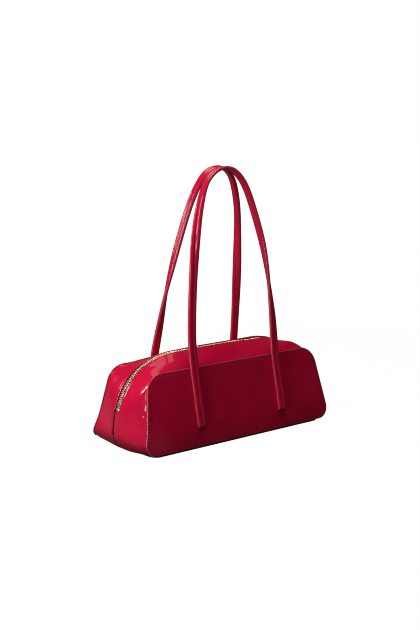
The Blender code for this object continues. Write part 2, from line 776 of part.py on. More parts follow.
class Chain:
    """The run of the zip's chain along the ridge: places by distance from the top middle, across, and outward."""

    def __init__(self):
        self.profile = centre_profile(CHAIN_INSET)
        self.end = self.profile.length_at_walk(walk_at_angle(ZIP_END_ANGLE))
        self.slider = self.end - TOP_STOP_LENGTH - SEAT_GAP - SLIDER_LENGTH / 2
        self.first_tooth = -self.end + BOTTOM_STOP_LENGTH + SEAT_GAP + TOOTH_WIDTH / 2
        self.last_tooth = self.slider + WEDGE_REAR - SEAT_GAP - TOOTH_WIDTH / 2

    def frame(self, distance):
        """Middle of the chain and the outward direction at a distance along it, negative to the left."""
        hand = -1 if distance < 0 else 1
        walk = self.profile.walk_at_length(abs(distance))
        middle, out = self.profile.at(walk), self.profile.normal(walk)
        return Vector((hand * middle.x, 0, middle.y)), Vector((hand * out.x, 0, out.y))

    def point(self, distance, across, outward):
        middle, out = self.frame(distance)
        return middle + ACROSS * across + out * outward

    def turn(self, distance):
        """Rotation about Y that lays a piece's own X along the chain and its Z outward."""
        _, out = self.frame(distance)
        return math.atan2(out.x, out.z)


CHAIN = Chain()


def make_tape(side):
    """One cloth tape, under the leather's edge beside the chain."""
    name = f"zip_tape_{'front' if side < 0 else 'back'}"
    depth = PANEL_THICKNESS + SEAT_GAP
    outer, inner = Skin(side, TAPE_INSET, depth), Skin(side, TAPE_INSET + TAPE_THICKNESS, depth)
    walks = [walk for walk in walks_round(4) if walk <= tape_end_walk()]
    sections = [
        band_section(outer, inner, walk, (TAPE_INNER_EDGE + TAPE_WIDTH, FLAT_HALF_WIDTH, TAPE_INNER_EDGE))
        for walk in both_hands(walks)
    ]
    add_object(name, loft(name, sections, band=True), zip_cloth(name))


def make_teeth(side):
    """One row of teeth on its bead. The two rows mesh: each tooth lies in the gap between two of the other row."""
    name = f"zip_teeth_{'front' if side < 0 else 'back'}"
    offset = 0.0 if side < 0 else TOOTH_PITCH / 2
    count = int((CHAIN.last_tooth - CHAIN.first_tooth - offset) / TOOTH_PITCH) + 1
    half, thick = TOOTH_WIDTH / 2, CHAIN_THICKNESS / 2
    bead = BEAD_HALF_REACH - BEAD_WIDTH
    bm = bmesh.new()

    def pair(distance, across):
        """The outer and the inner corner at one place of the comb."""
        return [bm.verts.new(CHAIN.point(distance, side * across, level)) for level in (thick, -thick)]

    def wall(a, b):
        """A face from the outer side to the inner side, between two places."""
        bm.faces.new((a[0], b[0], b[1], a[1]))

    back = None
    for index in range(count):
        middle = CHAIN.first_tooth + offset + index * TOOTH_PITCH
        start_back = back or pair(middle - half, BEAD_HALF_REACH)
        last = index == count - 1
        a, b = (pair(middle + shift, bead) for shift in (-half, half)) if index == 0 else (following, None)
        if b is None:
            b = pair(middle + half, bead)
        c, d = (pair(middle + shift, -TOOTH_OVERLAP) for shift in (-half, half))
        back = pair(middle + (half if last else TOOTH_PITCH - half), BEAD_HALF_REACH)
        following = None if last else pair(middle + TOOTH_PITCH - half, bead)
        ends = [back, b] if last else [back, following, b]
        for level in (0, 1):
            bm.faces.new([spot[level] for spot in (start_back, *ends, a)])
            bm.faces.new([spot[level] for spot in (a, b, d, c)])
        wall(start_back, back)
        wall(a, c)
        wall(c, d)
        wall(d, b)
        if index == 0:
            wall(start_back, a)
        wall(b, back if last else following)
    add_object(name, mesh_from(name, bm), gilt(name))


def on_chain(obj, distance, across=0.0, outward=0.0):
    """Place a piece on the chain, its own X along it and its Z outward."""
    obj.location = CHAIN.point(distance, across, outward)
    obj.rotation_euler = (0, CHAIN.turn(distance), 0)


def make_stops():
    """The block that holds both tapes at the left end, and the two stops that end the slider's run."""
    name = "zip_bottom_stop"
    size = (BOTTOM_STOP_LENGTH, BEAD_HALF_REACH * 2, STOP_THICKNESS)
    on_chain(box(name, size, gilt(name), edge_round=STOP_ROUND), -CHAIN.end + BOTTOM_STOP_LENGTH / 2)
    for side in (-1, 1):
        name = f"zip_top_stop_{'front' if side < 0 else 'back'}"
        size = (TOP_STOP_LENGTH, TOP_STOP_WIDTH, STOP_THICKNESS)
        stop = box(name, size, gilt(name), edge_round=STOP_ROUND)
        on_chain(stop, CHAIN.end - TOP_STOP_LENGTH / 2, side * (BEAD_HALF_REACH - TOP_STOP_WIDTH / 2))


def to_mesh(obj):
    """Replace a curve object by a closed mesh object of the same name and place."""
    name, matrix = obj.name, obj.matrix_basis.copy()
    collection, material = obj.users_collection[0], obj.data.materials[0] if obj.data.materials else None
    mesh = bpy.data.meshes.new_from_object(obj.evaluated_get(bpy.context.evaluated_depsgraph_get()))
    bm = bmesh.new()
    bm.from_mesh(mesh)
    bmesh.ops.remove_doubles(bm, verts=bm.verts, dist=SEAT_GAP / 100)
    bpy.data.objects.remove(obj, do_unlink=True)
    solid = add_object(name, mesh_from(name, bm), material, collection=collection)
    solid.matrix_basis = matrix
    return solid


def cut(obj, cutter):
    """Take a cutter away from an object, and hide the cutter."""
    cutter.hide_render = True
    cutter.display_type = "WIRE"
    modifier = obj.modifiers.new(cutter.name, "BOOLEAN")
    modifier.operation = "DIFFERENCE"
    modifier.solver = "EXACT"
    modifier.object = cutter


def make_slider(axis):
    """The slider's body: two plates joined by the wedge that parts the teeth, with a slot each side for the tape."""
    name = "slider_body"
    half_length, half_width = SLIDER_LENGTH / 2, SLIDER_WIDTH / 2
    radii = (SLIDER_FRONT_CORNER, SLIDER_REAR_CORNER, SLIDER_REAR_CORNER, SLIDER_FRONT_CORNER)
    plan = rounded_rectangle((-half_length, -half_width), (half_length, half_width), radii)
    body = to_mesh(add_object(name, flat_curve(name, [plan], SLIDER_TOP * 2), gilt(name)))
    channel = half_width - SLIDER_FLANGE
    reach = half_length + CUT_OVERRUN
    clear = [Vector(p) for p in ((-reach, -channel), (reach, -channel), (reach, channel), (-reach, channel))]
    wedge = [Vector(p) for p in ((WEDGE_REAR, 0), (WEDGE_WIDE, WEDGE_HALF_WIDTH),
                                 (WEDGE_FRONT, 0), (WEDGE_WIDE, -WEDGE_HALF_WIDTH))]
    way = flat_curve("tooth_channel", [clear, wedge], CHANNEL_HALF_HEIGHT * 2)
    cutters = [to_mesh(add_object("tooth_channel", way, None, collection=CUTTERS))]
    slot_width = half_width - TAPE_SLOT_REACH + CUT_OVERRUN
    for side in (-1, 1):
        middle = (0, side * (TAPE_SLOT_REACH + slot_width / 2), 0)
        cutters.append(box(f"tape_slot_{hand_name(side)}", (reach * 2, slot_width, TAPE_SLOT_HEIGHT), None, middle,
                           collection=CUTTERS))
    seat = Matrix.Translation(CHAIN.frame(CHAIN.slider)[0]) @ Matrix.Rotation(CHAIN.turn(CHAIN.slider), 4, "Y")
    for cutter in cutters:
        cutter.matrix_basis = seat @ cutter.matrix_basis
        cut(body, cutter)
    on_chain(body, CHAIN.slider)
    hang_on(body, axis)


def make_bail(axis):
    """The wire arch on the slider that the pull hangs from."""
    name = "slider_bail"
    curve = bpy.data.curves.new(name, "CURVE")
    curve.dimensions = "3D"
    curve.bevel_depth = BAIL_WIRE_RADIUS
    curve.bevel_resolution = 1
    curve.use_fill_caps = True
    foot = SLIDER_TOP + SEAT_GAP
    shoulder = SLIDER_TOP + BAIL_SHOULDER
    steps = CORNER_STEPS * 2
    spots = [(-BAIL_HALF_SPAN, foot)]
    for step in range(steps + 1):
        angle = math.pi * (1 - step / steps)
        spots.append((BAIL_HALF_SPAN * math.cos(angle), shoulder + BAIL_RISE * math.sin(angle)))
    spots.append((BAIL_HALF_SPAN, foot))
    spline = curve.splines.new("POLY")
    spline.points.add(len(spots) - 1)
    for point, (along, outward) in zip(spline.points, spots):
        point.co = (along, 0, outward, 1)
    bail = add_object(name, curve, gilt(name))
    on_chain(bail, CHAIN.slider)
    hang_on(bail, axis)


def make_pull(axis):
    """The metal tag that hangs from the bail by its eye, its origin on the axis it swings about."""
    name = "zip_pull"
    bar = PULL_THICKNESS / 2
    outline = rounded_rectangle((-bar, -PULL_WIDTH / 2), (PULL_LENGTH - bar, PULL_WIDTH / 2), PULL_CORNER)
    eye = rounded_rectangle((bar, -PULL_EYE_WIDTH / 2), (bar + PULL_EYE_LENGTH, PULL_EYE_WIDTH / 2), PULL_EYE_CORNER, 2)
    pull = add_object(name, flat_curve(name, [outline, eye], PULL_THICKNESS), gilt(name))
    on_chain(pull, CHAIN.slider, outward=PULL_AXIS_LIFT)
    pull.rotation_euler.y += PULL_REST_TILT
    hang_on(pull, axis)


def main():
    make_sole()
    make_base_board()
    for side in (-1, 1):
        make_panel(side)
        make_gusset(side)
        make_stiffener(side)
        make_lining(side)
        for hand in (-1, 1):
            make_anchor(side, hand)
            make_tab(side, hand)
        make_tape(side)
        make_teeth(side)
    make_pocket()
    make_loop(-1, FRONT_LOOP_SHARES, FRONT_TWIST_SHARES)
    make_loop(1, BACK_LOOP_SHARES, BACK_TWIST_SHARES)
    make_stops()
    slider_axis = add_axis("zip_travel_axis", (ARC_CENTRE.x, 0, ARC_CENTRE.y))
    make_slider(slider_axis)
    make_bail(slider_axis)
    make_pull(slider_axis)


if __name__ == "__main__":
    main()
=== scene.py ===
"""A crimson top handle bag in glazed leather, dressed over its measured frame in a pale studio.

Metres, +Z up. The bag's front faces -Y and the closed end of its zip points to +X.
"""

import logging
import math
from dataclasses import dataclass, field
from enum import Enum
from typing import Any, Optional, Sequence

import bmesh
import bpy
import numpy as np
from mathutils import Matrix, Vector
from mathutils.geometry import interpolate_bezier


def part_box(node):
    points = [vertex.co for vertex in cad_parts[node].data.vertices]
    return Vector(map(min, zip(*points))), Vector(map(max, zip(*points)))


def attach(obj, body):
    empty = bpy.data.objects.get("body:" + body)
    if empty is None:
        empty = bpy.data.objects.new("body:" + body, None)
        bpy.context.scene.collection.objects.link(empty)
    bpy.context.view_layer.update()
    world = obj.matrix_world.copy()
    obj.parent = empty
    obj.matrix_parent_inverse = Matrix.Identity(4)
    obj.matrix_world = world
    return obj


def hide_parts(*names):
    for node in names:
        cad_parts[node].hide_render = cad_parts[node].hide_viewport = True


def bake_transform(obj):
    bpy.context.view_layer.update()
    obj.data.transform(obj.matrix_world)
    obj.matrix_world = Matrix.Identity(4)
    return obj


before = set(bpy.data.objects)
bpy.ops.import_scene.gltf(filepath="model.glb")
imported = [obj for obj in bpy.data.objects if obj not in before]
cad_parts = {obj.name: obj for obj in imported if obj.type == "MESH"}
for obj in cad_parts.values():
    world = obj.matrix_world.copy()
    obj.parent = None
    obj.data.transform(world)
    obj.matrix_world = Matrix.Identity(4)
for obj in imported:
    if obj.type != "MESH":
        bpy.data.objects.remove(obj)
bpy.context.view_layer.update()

LOG = logging.getLogger("bag")
MM = 0.001
Array = np.ndarray
Colour = tuple[float, float, float]
Span = tuple[float, float]
Faces = list[tuple[int, ...]]


def mm(*values: float) -> tuple[float, ...]:
    """Millimetres as metres."""
    return tuple(value * MM for value in values)


class Side(Enum):
    """The two faces of the bag, by the sign of their y."""

    FRONT = -1
    BACK = 1

    @property
    def word(self) -> str:
        """The side's word in the names of its pieces."""
        return self.name.lower()

    @property
    def strap_body(self) -> str:
        """The moving body of the side's strap loop."""
        return f"{self.word}_strap_loop"


class Body(Enum):
    """The bodies that pieces ride on, apart from the strap loops."""

    BAG = "bag"
    PULL = "zip_pull_tag"


# Shaders


class Wire:
    """A value inside a shader. Plain arithmetic on it adds Math nodes."""

    def __init__(self, graph: "Graph", socket: bpy.types.NodeSocket) -> None:
        """Wrap an output socket of a graph."""
        self.graph = graph
        self.socket = socket

    def _math(self, operation: str, *values: Any) -> "Wire":
        """Return a Math node's result on up to three values."""
        return self.graph.node("ShaderNodeMath", {"operation": operation}, dict(enumerate(values)))

    def __add__(self, other: Any) -> "Wire":
        """self + other."""
        return self._math("ADD", self, other)

    __radd__ = __add__

    def __sub__(self, other: Any) -> "Wire":
        """self - other."""
        return self._math("SUBTRACT", self, other)

    def __rsub__(self, other: Any) -> "Wire":
        """other - self."""
        return self._math("SUBTRACT", other, self)

    def __mul__(self, other: Any) -> "Wire":
        """self * other."""
        return self._math("MULTIPLY", self, other)

    __rmul__ = __mul__

    def clip(self) -> "Wire":
        """The value held between 0 and 1."""
        return self._math("MINIMUM", self._math("MAXIMUM", self, 0.0), 1.0)

    def larger(self, other: Any) -> "Wire":
        """The larger of two values."""
        return self._math("MAXIMUM", self, other)

    def sine(self) -> "Wire":
        """The sine of the value in radians."""
        return self._math("SINE", self)

    def ramp(self, low: float, high: float) -> "Wire":
        """A soft step from 0 at low to 1 at high."""
        settings = {"interpolation_type": "SMOOTHSTEP"}
        return self.graph.node("ShaderNodeMapRange", settings, {0: self, 1: low, 2: high})

    def mix(self, *ends: Any) -> "Wire":
        """The colour between two colours, plain or wired, by this value as the share of the second."""
        low, high = (end if isinstance(end, Wire) else (*end, 1.0) for end in ends)
        return self.graph.node("ShaderNodeMix", {"data_type": "RGBA"}, {0: self, 6: low, 7: high}, 2)


class Graph:
    """A node tree that is written as plain expressions."""

    def __init__(self, tree: bpy.types.NodeTree) -> None:
        """Start on a material's or a world's node tree, emptied."""
        self.tree = tree
        tree.nodes.clear()

    def node(self, kind: str, settings: Optional[dict[str, Any]] = None,
             inputs: Optional[dict[Any, Any]] = None, output: Any = 0) -> Wire:
        """Add one node.

        Args:
            kind: The node's type.
            settings: Its properties, set before its sockets.
            inputs: Numbers, colours or wires by socket name or index.
            output: The socket to return, by name or index.

        Returns:
            The chosen output.
        """
        made = self.tree.nodes.new(kind)
        for name, value in (settings or {}).items():
            setattr(made, name, value)
        for name, value in (inputs or {}).items():
            if isinstance(value, Wire):
                self.tree.links.new(value.socket, made.inputs[name])
            else:
                made.inputs[name].default_value = value
        return Wire(self, made.outputs[output] if made.outputs else None)

    def place(self) -> Wire:
        """The point on the object in metres."""
        return self.node("ShaderNodeTexCoord", output="Object")

    def stretched(self, *factors: float) -> Wire:
        """The point on the object with factors on its x, y and z."""
        return self.node("ShaderNodeVectorMath", {"operation": "MULTIPLY"}, {0: self.place(), 1: factors})

    def along(self, spot: Wire, direction: Colour) -> Wire:
        """How far a vector reaches along a direction."""
        settings = {"operation": "DOT_PRODUCT"}
        return self.node("ShaderNodeVectorMath", settings, {0: spot, 1: direction}, "Value")

    def ray(self, kind: str) -> Wire:
        """1 for rays of a kind, such as Camera, and 0 for other rays."""
        return self.node("ShaderNodeLightPath", output=f"Is {kind} Ray")

    def noise(self, spot: Wire, size: float, detail: float = 2.0, roughness: float = 0.5,
              distortion: float = 0.0) -> Wire:
        """Soft noise from 0 to 1 whose features are about a size in metres."""
        values = {"Vector": spot, "Scale": 1 / size, "Detail": detail, "Roughness": roughness,
                  "Distortion": distortion}
        return self.node("ShaderNodeTexNoise", None, values)

    def cells(self, spot: Wire, size: float) -> Wire:
        """Distance to the middle of small cells of a size in metres, in cell sizes."""
        return self.node("ShaderNodeTexVoronoi", None, {"Vector": spot, "Scale": 1 / size})

    def mark(self, name: str) -> Wire:
        """A number stored at the points of the mesh."""
        return self.node("ShaderNodeAttribute", {"attribute_name": name}, output="Fac")

    def bump(self, height: Wire, depth: float, strength: float) -> Wire:
        """A normal bent by a height from 0 to 1 that stands for a depth in metres."""
        return self.node("ShaderNodeBump", None, {"Strength": strength, "Distance": depth, "Height": height})

    def finish(self, shader: Wire, kind: str = "ShaderNodeOutputMaterial") -> None:
        """Send a shader to the output of the tree."""
        self.node(kind, None, {"Surface": shader})


def new_material(name: str, colour: Colour) -> tuple[bpy.types.Material, Graph]:
    """Make an empty node material.

    Args:
        name: Its name.
        colour: Its plain colour in the viewport.

    Returns:
        The material and its graph.
    """
    material = bpy.data.materials.new(name)
    material.use_nodes = True
    material.diffuse_color = (*colour, 1.0)
    return material, Graph(material.node_tree)


@dataclass(frozen=True)
class Finish:
    """A finish of one Principled shader."""

    name: str
    colour: Colour

    def sockets(self, g: Graph) -> dict[str, Any]:
        """Numbers and wires by socket. Each kind of finish has its own."""
        raise NotImplementedError

    def material(self) -> bpy.types.Material:
        """Build the material.

        Returns:
            A material with the finish's sockets on its shader.
        """
        material, g = new_material(self.name, self.colour)
        g.finish(g.node("ShaderNodeBsdfPrincipled", None, self.sockets(g)))
        return material

    def darker(self, share: float) -> Colour:
        """The colour at a share of its brightness."""
        return tuple(channel * share for channel in self.colour)


@dataclass(frozen=True)
class GlazedLeather(Finish):
    """Smooth dyed leather under a clear glaze, with painted shade in its seams and a paler colour for wear
    and painted sheen.
    """

    colour: Colour = (0.560, 0.0035, 0.0400)
    deep: Colour = (0.260, 0.0010, 0.0160)
    # Paler, less red colour for wear and for painted sheen and highlights
    rubbed_and_sheen: Colour = (0.660, 0.0450, 0.1000)
    # Colour of the painted shade that the seam mark lays in seams, grooves, creases, under edges and towards
    # the foot
    crease: Colour = (0.050, 0.0005, 0.0040)
    roughness: float = 0.28
    specular: float = 0.05
    coat: float = 0.75
    coat_roughness: float = 0.08
    grain: float = 0.05
    grain_depth: float = 0.12 * MM
    cloud_size: float = 90 * MM
    # Size of the vertical streaks that paint reflections into the colour
    reflection_streak_size: float = 16 * MM
    wrinkle_size: float = 3.2 * MM
    pore_size: float = 0.55 * MM
    skin_size: float = 0.35 * MM
    cloud_haze: float = 0.16
    wrinkle_haze: float = 0.10
    seam_haze: float = 0.2

    def sockets(self, g: Graph) -> dict[str, Any]:
        """Clouded colour with painted reflection streaks, painted shade and painted sheen from the marks,
        fine pores and slow waves in the gloss.

        Args:
            g: The material's graph.

        Returns:
            Numbers and wires by socket.
        """
        spot = g.place()
        cloud = g.noise(spot, self.cloud_size, 3.0, 0.55, 0.4)
        # Vertical streaks in the colour are painted reflections; the clouds are the leather's own uneven tone
        reflection_streak = g.noise(g.stretched(1.0, 1.0, 0.3), self.reflection_streak_size, 2.0, 0.5)
        seam = g.mark("seam")
        rub_and_sheen = g.mark("rub_and_sheen")
        depth = ((0.62 - cloud) * 1.5 + (0.5 - reflection_streak) * 0.5).clip()
        tone_and_painted_light = (depth * 0.55).mix(self.colour, self.deep)
        # Painted shade: the colour goes towards the dark shade colour by the seam mark
        tone_and_painted_light = seam.clip().mix(tone_and_painted_light, self.crease)
        # The paler mark lightens the colour for wear, and paints sheen and highlights on rolled edges, strap
        # lobes, the panel's lower left corner and the gusset's left end
        tone_and_painted_light = (rub_and_sheen * cloud * 1.2).clip().mix(tone_and_painted_light, self.rubbed_and_sheen)
        pores = g.cells(spot, self.pore_size)
        wrinkle = g.noise(g.stretched(1.0, 1.0, 0.6), self.wrinkle_size, 3.0, 0.6, 0.8)
        skin = g.noise(spot, self.skin_size, 2.0, 0.5)
        height = pores.ramp(0.05, 0.5) * 0.5 + skin * 0.35 + wrinkle * 0.6
        rough = self.roughness + (cloud - 0.5) * self.cloud_haze + (wrinkle - 0.5) * self.wrinkle_haze
        return {
            "Base Color": tone_and_painted_light,
            "Roughness": (rough + seam * self.seam_haze).clip(),
            "Normal": g.bump(height, self.grain_depth, self.grain),
            "Coat Weight": self.coat * (1.0 - seam * 0.6),
            "Coat Roughness": self.coat_roughness,
            "Specular IOR Level": self.specular,
        }


@dataclass(frozen=True)
class Yarn(Finish):
    """Waxed sewing thread, with its twist and a little fuzz."""

    roughness: float = 0.55
    twist: float = 0.55 * MM
    ply_depth: float = 0.08 * MM
    wear_size: float = 6 * MM

    def sockets(self, g: Graph) -> dict[str, Any]:
        """Slanted plies with painted shade between them.

        Args:
            g: The material's graph.

        Returns:
            Numbers and wires by socket.
        """
        slant = g.along(g.place(), (0.6, 0.25, 0.75))
        ply = (slant * (2 * math.pi / self.twist)).sine() * 0.5 + 0.5
        worn = g.noise(g.place(), self.wear_size)
        return {
            # Painted shade: the colour is darker between the plies; the slow noise is wear
            "Base Color": (ply * 0.6 + worn * 0.4).clip().mix(self.darker(0.55), self.colour),
            "Roughness": (self.roughness + (worn - 0.5) * 0.2).clip(),
            "Normal": g.bump(ply, self.ply_depth, 0.7),
            "Sheen Weight": 0.2,
        }


@dataclass(frozen=True)
class GiltMetal(Finish):
    """Polished pale gold plating with hairlines and a faint tarnish."""

    colour: Colour = (0.950, 0.700, 0.500)
    tarnish: Colour = (0.700, 0.420, 0.260)
    roughness: float = 0.34
    metallic: float = 0.85
    tarnish_size: float = 9 * MM
    hairline_size: float = 0.9 * MM
    hairline_depth: float = 0.03 * MM

    def sockets(self, g: Graph) -> dict[str, Any]:
        """Cloudy tarnish and hairlines along the zip.

        Args:
            g: The material's graph.

        Returns:
            Numbers and wires by socket.
        """
        age = g.noise(g.place(), self.tarnish_size, 4.0, 0.6)
        lines = g.noise(g.stretched(1.0, 8.0, 1.0), self.hairline_size, 3.0, 0.6)
        return {
            "Base Color": (age.ramp(0.52, 0.8) * 0.5).mix(self.colour, self.tarnish),
            "Metallic": self.metallic,
            "Roughness": (self.roughness + (age - 0.5) * 0.2 + (lines - 0.5) * 0.12).clip(),
            "Normal": g.bump(lines, self.hairline_depth, 0.25),
        }


@dataclass(frozen=True)
class WovenCloth(Finish):
    """A woven cloth of two crossing sets of yarns, plain or as a twill."""

    pitch: float = 0.45 * MM
    slant: float = 1.0
    relief: float = 0.10 * MM
    roughness: float = 0.78
    wear_size: float = 14 * MM

    def sockets(self, g: Graph) -> dict[str, Any]:
        """Slanted ribs over a fine weave with painted shade in the hollows, matt.

        Args:
            g: The material's graph.

        Returns:
            Numbers and wires by socket.
        """
        turn = 2 * math.pi / self.pitch

        def rib(direction: Colour) -> Wire:
            """Rounded ribs square to a direction."""
            return (g.along(g.place(), direction) * turn).sine() * 0.5 + 0.5

        height = rib((1.0, self.slant, 0.8)) * 0.7 + rib((0.5, -0.7, 1.9)) * 0.3
        wear = g.noise(g.place(), self.wear_size, 3.0)
        return {
            # Painted shade: the colour is darker where the weave is low; the slow noise is wear
            "Base Color": (height * 0.75 + wear * 0.35).clip().mix(self.darker(0.45), self.colour),
            "Roughness": (self.roughness + (wear - 0.5) * 0.2).clip(),
            "Normal": g.bump(height, self.relief, 0.8),
            "Sheen Weight": 0.15,
        }


@dataclass(frozen=True)
class PressedBoard(Finish):
    """Pressed fibre board with short flecks."""

    colour: Colour = (0.42, 0.35, 0.27)
    roughness: float = 0.8
    fleck_size: float = 1.4 * MM
    relief: float = 0.15 * MM

    def sockets(self, g: Graph) -> dict[str, Any]:
        """Long soft fibres, matt.

        Args:
            g: The material's graph.

        Returns:
            Numbers and wires by socket.
        """
        fibre = g.noise(g.stretched(0.25, 1.0, 1.0), self.fleck_size, 4.0, 0.65, 0.6)
        return {
            "Base Color": fibre.ramp(0.3, 0.7).mix(self.darker(0.6), self.colour),
            "Roughness": (self.roughness + (fibre - 0.5) * 0.2).clip(),
            "Normal": g.bump(fibre, self.relief, 0.5),
        }


class Dress(Enum):
    """Every finish of the bag."""

    LEATHER = GlazedLeather("glazed_crimson_leather")
    EDGE = GlazedLeather(
        "painted_leather_edge", (0.580, 0.030, 0.070), deep=(0.40, 0.010, 0.030), rubbed_and_sheen=(0.66, 0.06, 0.12),
        roughness=0.40, specular=0.12, coat=0.2, coat_roughness=0.2, grain=0.2)
    SOLE = GlazedLeather(
        "burgundy_sole_leather", (0.085, 0.003, 0.012), deep=(0.04, 0.001, 0.005), rubbed_and_sheen=(0.15, 0.01, 0.02),
        crease=(0.030, 0.0005, 0.003), roughness=0.42, specular=0.3, coat=0.25, coat_roughness=0.25,
        grain=0.3)
    DARK_THREAD = Yarn("burgundy_thread", (0.014, 0.0008, 0.003))
    RED_THREAD = Yarn("crimson_thread", (0.480, 0.060, 0.100))
    GILT = GiltMetal("pale_gilt_metal")
    # Lighter and redder than the gilt of the stops and slider: painted sheen and a painted reflection of the
    # red leather
    TEETH = GiltMetal("gilt_zip_teeth", (1.000, 0.670, 0.480), (0.860, 0.480, 0.320), roughness=0.28)
    # The tape's and the cord's dark colours are painted shade, standing for the shadow inside the zip's slot
    TAPE = WovenCloth("zip_tape_cloth", (0.130, 0.002, 0.012), pitch=0.9 * MM, slant=0.5)
    CORD = WovenCloth("zip_cord", (0.045, 0.001, 0.004), pitch=0.6 * MM, slant=0.5)
    TWILL = WovenCloth("lining_twill", (0.42, 0.33, 0.25))
    BOARD = PressedBoard("pressed_board")

    @property
    def material(self) -> bpy.types.Material:
        """The finish's material, built at its first use."""
        return bpy.data.materials.get(self.value.name) or self.value.material()


# Meshes


def link(name: str, data: Any) -> bpy.types.Object:
    """Put a new object in the scene.

    Args:
        name: Its name.
        data: Its mesh, curve, light or camera.

    Returns:
        The object, at the origin.
    """
    obj = bpy.data.objects.new(name, data)
    bpy.context.scene.collection.objects.link(obj)
    return obj


def new_object(name: str, points: Array, faces: Faces, sharp: float = 40.0) -> bpy.types.Object:
    """Make a smooth-shaded mesh object with its faces pointing out.

    Args:
        name: The piece's name.
        points: One row of three coordinates a point.
        faces: Point indices of each face.
        sharp: Angle in degrees from which an edge is left sharp.

    Returns:
        The linked object, at the origin.
    """
    mesh = bpy.data.meshes.new(name)
    mesh.from_pydata(np.asarray(points).reshape(-1, 3).tolist(), [], faces)
    bm = bmesh.new()
    bm.from_mesh(mesh)
    bmesh.ops.recalc_face_normals(bm, faces=bm.faces)
    bm.to_mesh(mesh)
    bm.free()
    mesh.shade_smooth()
    mesh.set_sharp_from_angle(angle=math.radians(sharp))
    return link(name, mesh)


def write_mark(obj: bpy.types.Object, name: str, values: Array) -> None:
    """Store a number at each point of an object's mesh."""
    layer = obj.data.attributes.new(name, "FLOAT", "POINT")
    layer.data.foreach_set("value", np.asarray(values, np.float32).ravel())


def unit(vectors: Array) -> Array:
    """Vectors scaled to a length of one."""
    return vectors / np.maximum(np.linalg.norm(vectors, axis=-1, keepdims=True), 1e-12)


def bell(values: Array, middle: float, width: float) -> Array:
    """A soft bump of height one at a middle value."""
    return np.exp(-((values - middle) / width) ** 2)


def step(values: Array, low: float, high: float) -> Array:
    """A soft step from 0 at low to 1 at high."""
    share = np.clip((values - low) / (high - low), 0, 1)
    return share * share * (3 - 2 * share)


def waves(points: Array, low: float, high: float, seed: int, count: int = 14) -> Array:
    """Slow smooth unevenness of the leather, between about -1 and 1.

    Args:
        points: Places in metres.
        low: Shortest wavelength.
        high: Longest wavelength.
        seed: Seed of the random directions.
        count: Number of waves that are added up.

    Returns:
        One height a point.
    """
    rng = np.random.default_rng(seed)
    total = np.zeros(points.shape[:-1])
    for _ in range(count):
        direction = unit(rng.normal(size=3))
        length = low * (high / low) ** rng.random()
        total += np.sin(points @ direction * 2 * math.pi / length + rng.random() * 2 * math.pi)
    return total / math.sqrt(count)


def lengths_along(line: Array) -> Array:
    """Lengths from the start of a line to each of its points."""
    return np.concatenate([[0], np.cumsum(np.linalg.norm(np.diff(line, axis=0), axis=1))])


def read_along(table: Array, reach: Array, marks: Array) -> Array:
    """The rows of a table that stand at lengths along it, read between them at other lengths."""
    return np.stack([np.interp(marks, reach, column) for column in table.T], axis=-1)


def grid_normals(grid: Array) -> Array:
    """Unit normals of a grid of points, by its rows and columns."""
    return unit(np.cross(np.gradient(grid, axis=0), np.gradient(grid, axis=1)))


def ring_faces(first: int, second: int, count: int) -> Faces:
    """Faces between two closed rings of as many points."""
    return [(first + i, first + (i + 1) % count, second + (i + 1) % count, second + i) for i in range(count)]


def loft_faces(sections: int, count: int) -> Faces:
    """Faces of closed sections of as many points, joined end to end, with both ends closed."""
    faces = [face for s in range(sections - 1) for face in ring_faces(s * count, (s + 1) * count, count)]
    return faces + [tuple(range(count))[::-1], tuple(range((sections - 1) * count, sections * count))]


def patch(loop: Array, across: int, up: int, base: int, spare: int) -> tuple[Array, Faces]:
    """Fill a closed loop that starts at a corner with an even grid.

    Args:
        loop: The loop's points, corner to corner.
        across: Faces along its first and third side.
        up: Faces along its second and fourth side.
        base: Index of the loop's first point in the mesh.
        spare: Index that the first new point gets.

    Returns:
        The new inner points and the faces of the patch.
    """
    count = 2 * (across + up)
    ids = np.empty((up + 1, across + 1), int)
    ids[0] = np.arange(across + 1)
    ids[:, -1] = across + np.arange(up + 1)
    ids[-1] = 2 * across + up - np.arange(across + 1)
    ids[:, 0] = (count - np.arange(up + 1)) % count
    top, bottom, left, right = loop[ids[0]], loop[ids[-1]], loop[ids[:, 0]], loop[ids[:, -1]]
    u = np.linspace(0, 1, across + 1)[None, :, None]
    v = np.linspace(0, 1, up + 1)[:, None, None]
    grid = (1 - v) * top[None] + v * bottom[None] + (1 - u) * left[:, None] + u * right[:, None]
    grid = grid - ((1 - u) * (1 - v) * top[0] + u * (1 - v) * top[-1]
                   + (1 - u) * v * bottom[0] + u * v * bottom[-1])
    ids += base
    ids[1:-1, 1:-1] = spare + np.arange((up - 1) * (across - 1)).reshape(up - 1, across - 1)
    faces = [(ids[r, c], ids[r, c + 1], ids[r + 1, c + 1], ids[r + 1, c])
             for r in range(up) for c in range(across)]
    return grid[1:-1, 1:-1].reshape(-1, 3), [tuple(int(i) for i in face) for face in faces]


def closed_rings(loops: Sequence[Array], across: int, up: int, caps: tuple[bool, bool] = (True, True)
                 ) -> tuple[Array, Faces]:
    """Join loops that start at a corner into one surface.

    Args:
        loops: The loops, in order.
        across: Faces along the first and third side of each.
        up: Faces along the second and fourth side.
        caps: Whether the first and the last loop are filled.

    Returns:
        Points and faces.
    """
    count = 2 * (across + up)
    points = [np.vstack(loops)]
    faces = [face for k in range(len(loops) - 1) for face in ring_faces(k * count, (k + 1) * count, count)]
    spare = len(points[0])
    for index, wanted in ((0, caps[0]), (len(loops) - 1, caps[1])):
        if wanted:
            inner, more = patch(loops[index], across, up, index * count, spare)
            points.append(inner)
            faces += more
            spare += len(inner)
    return np.vstack(points), faces


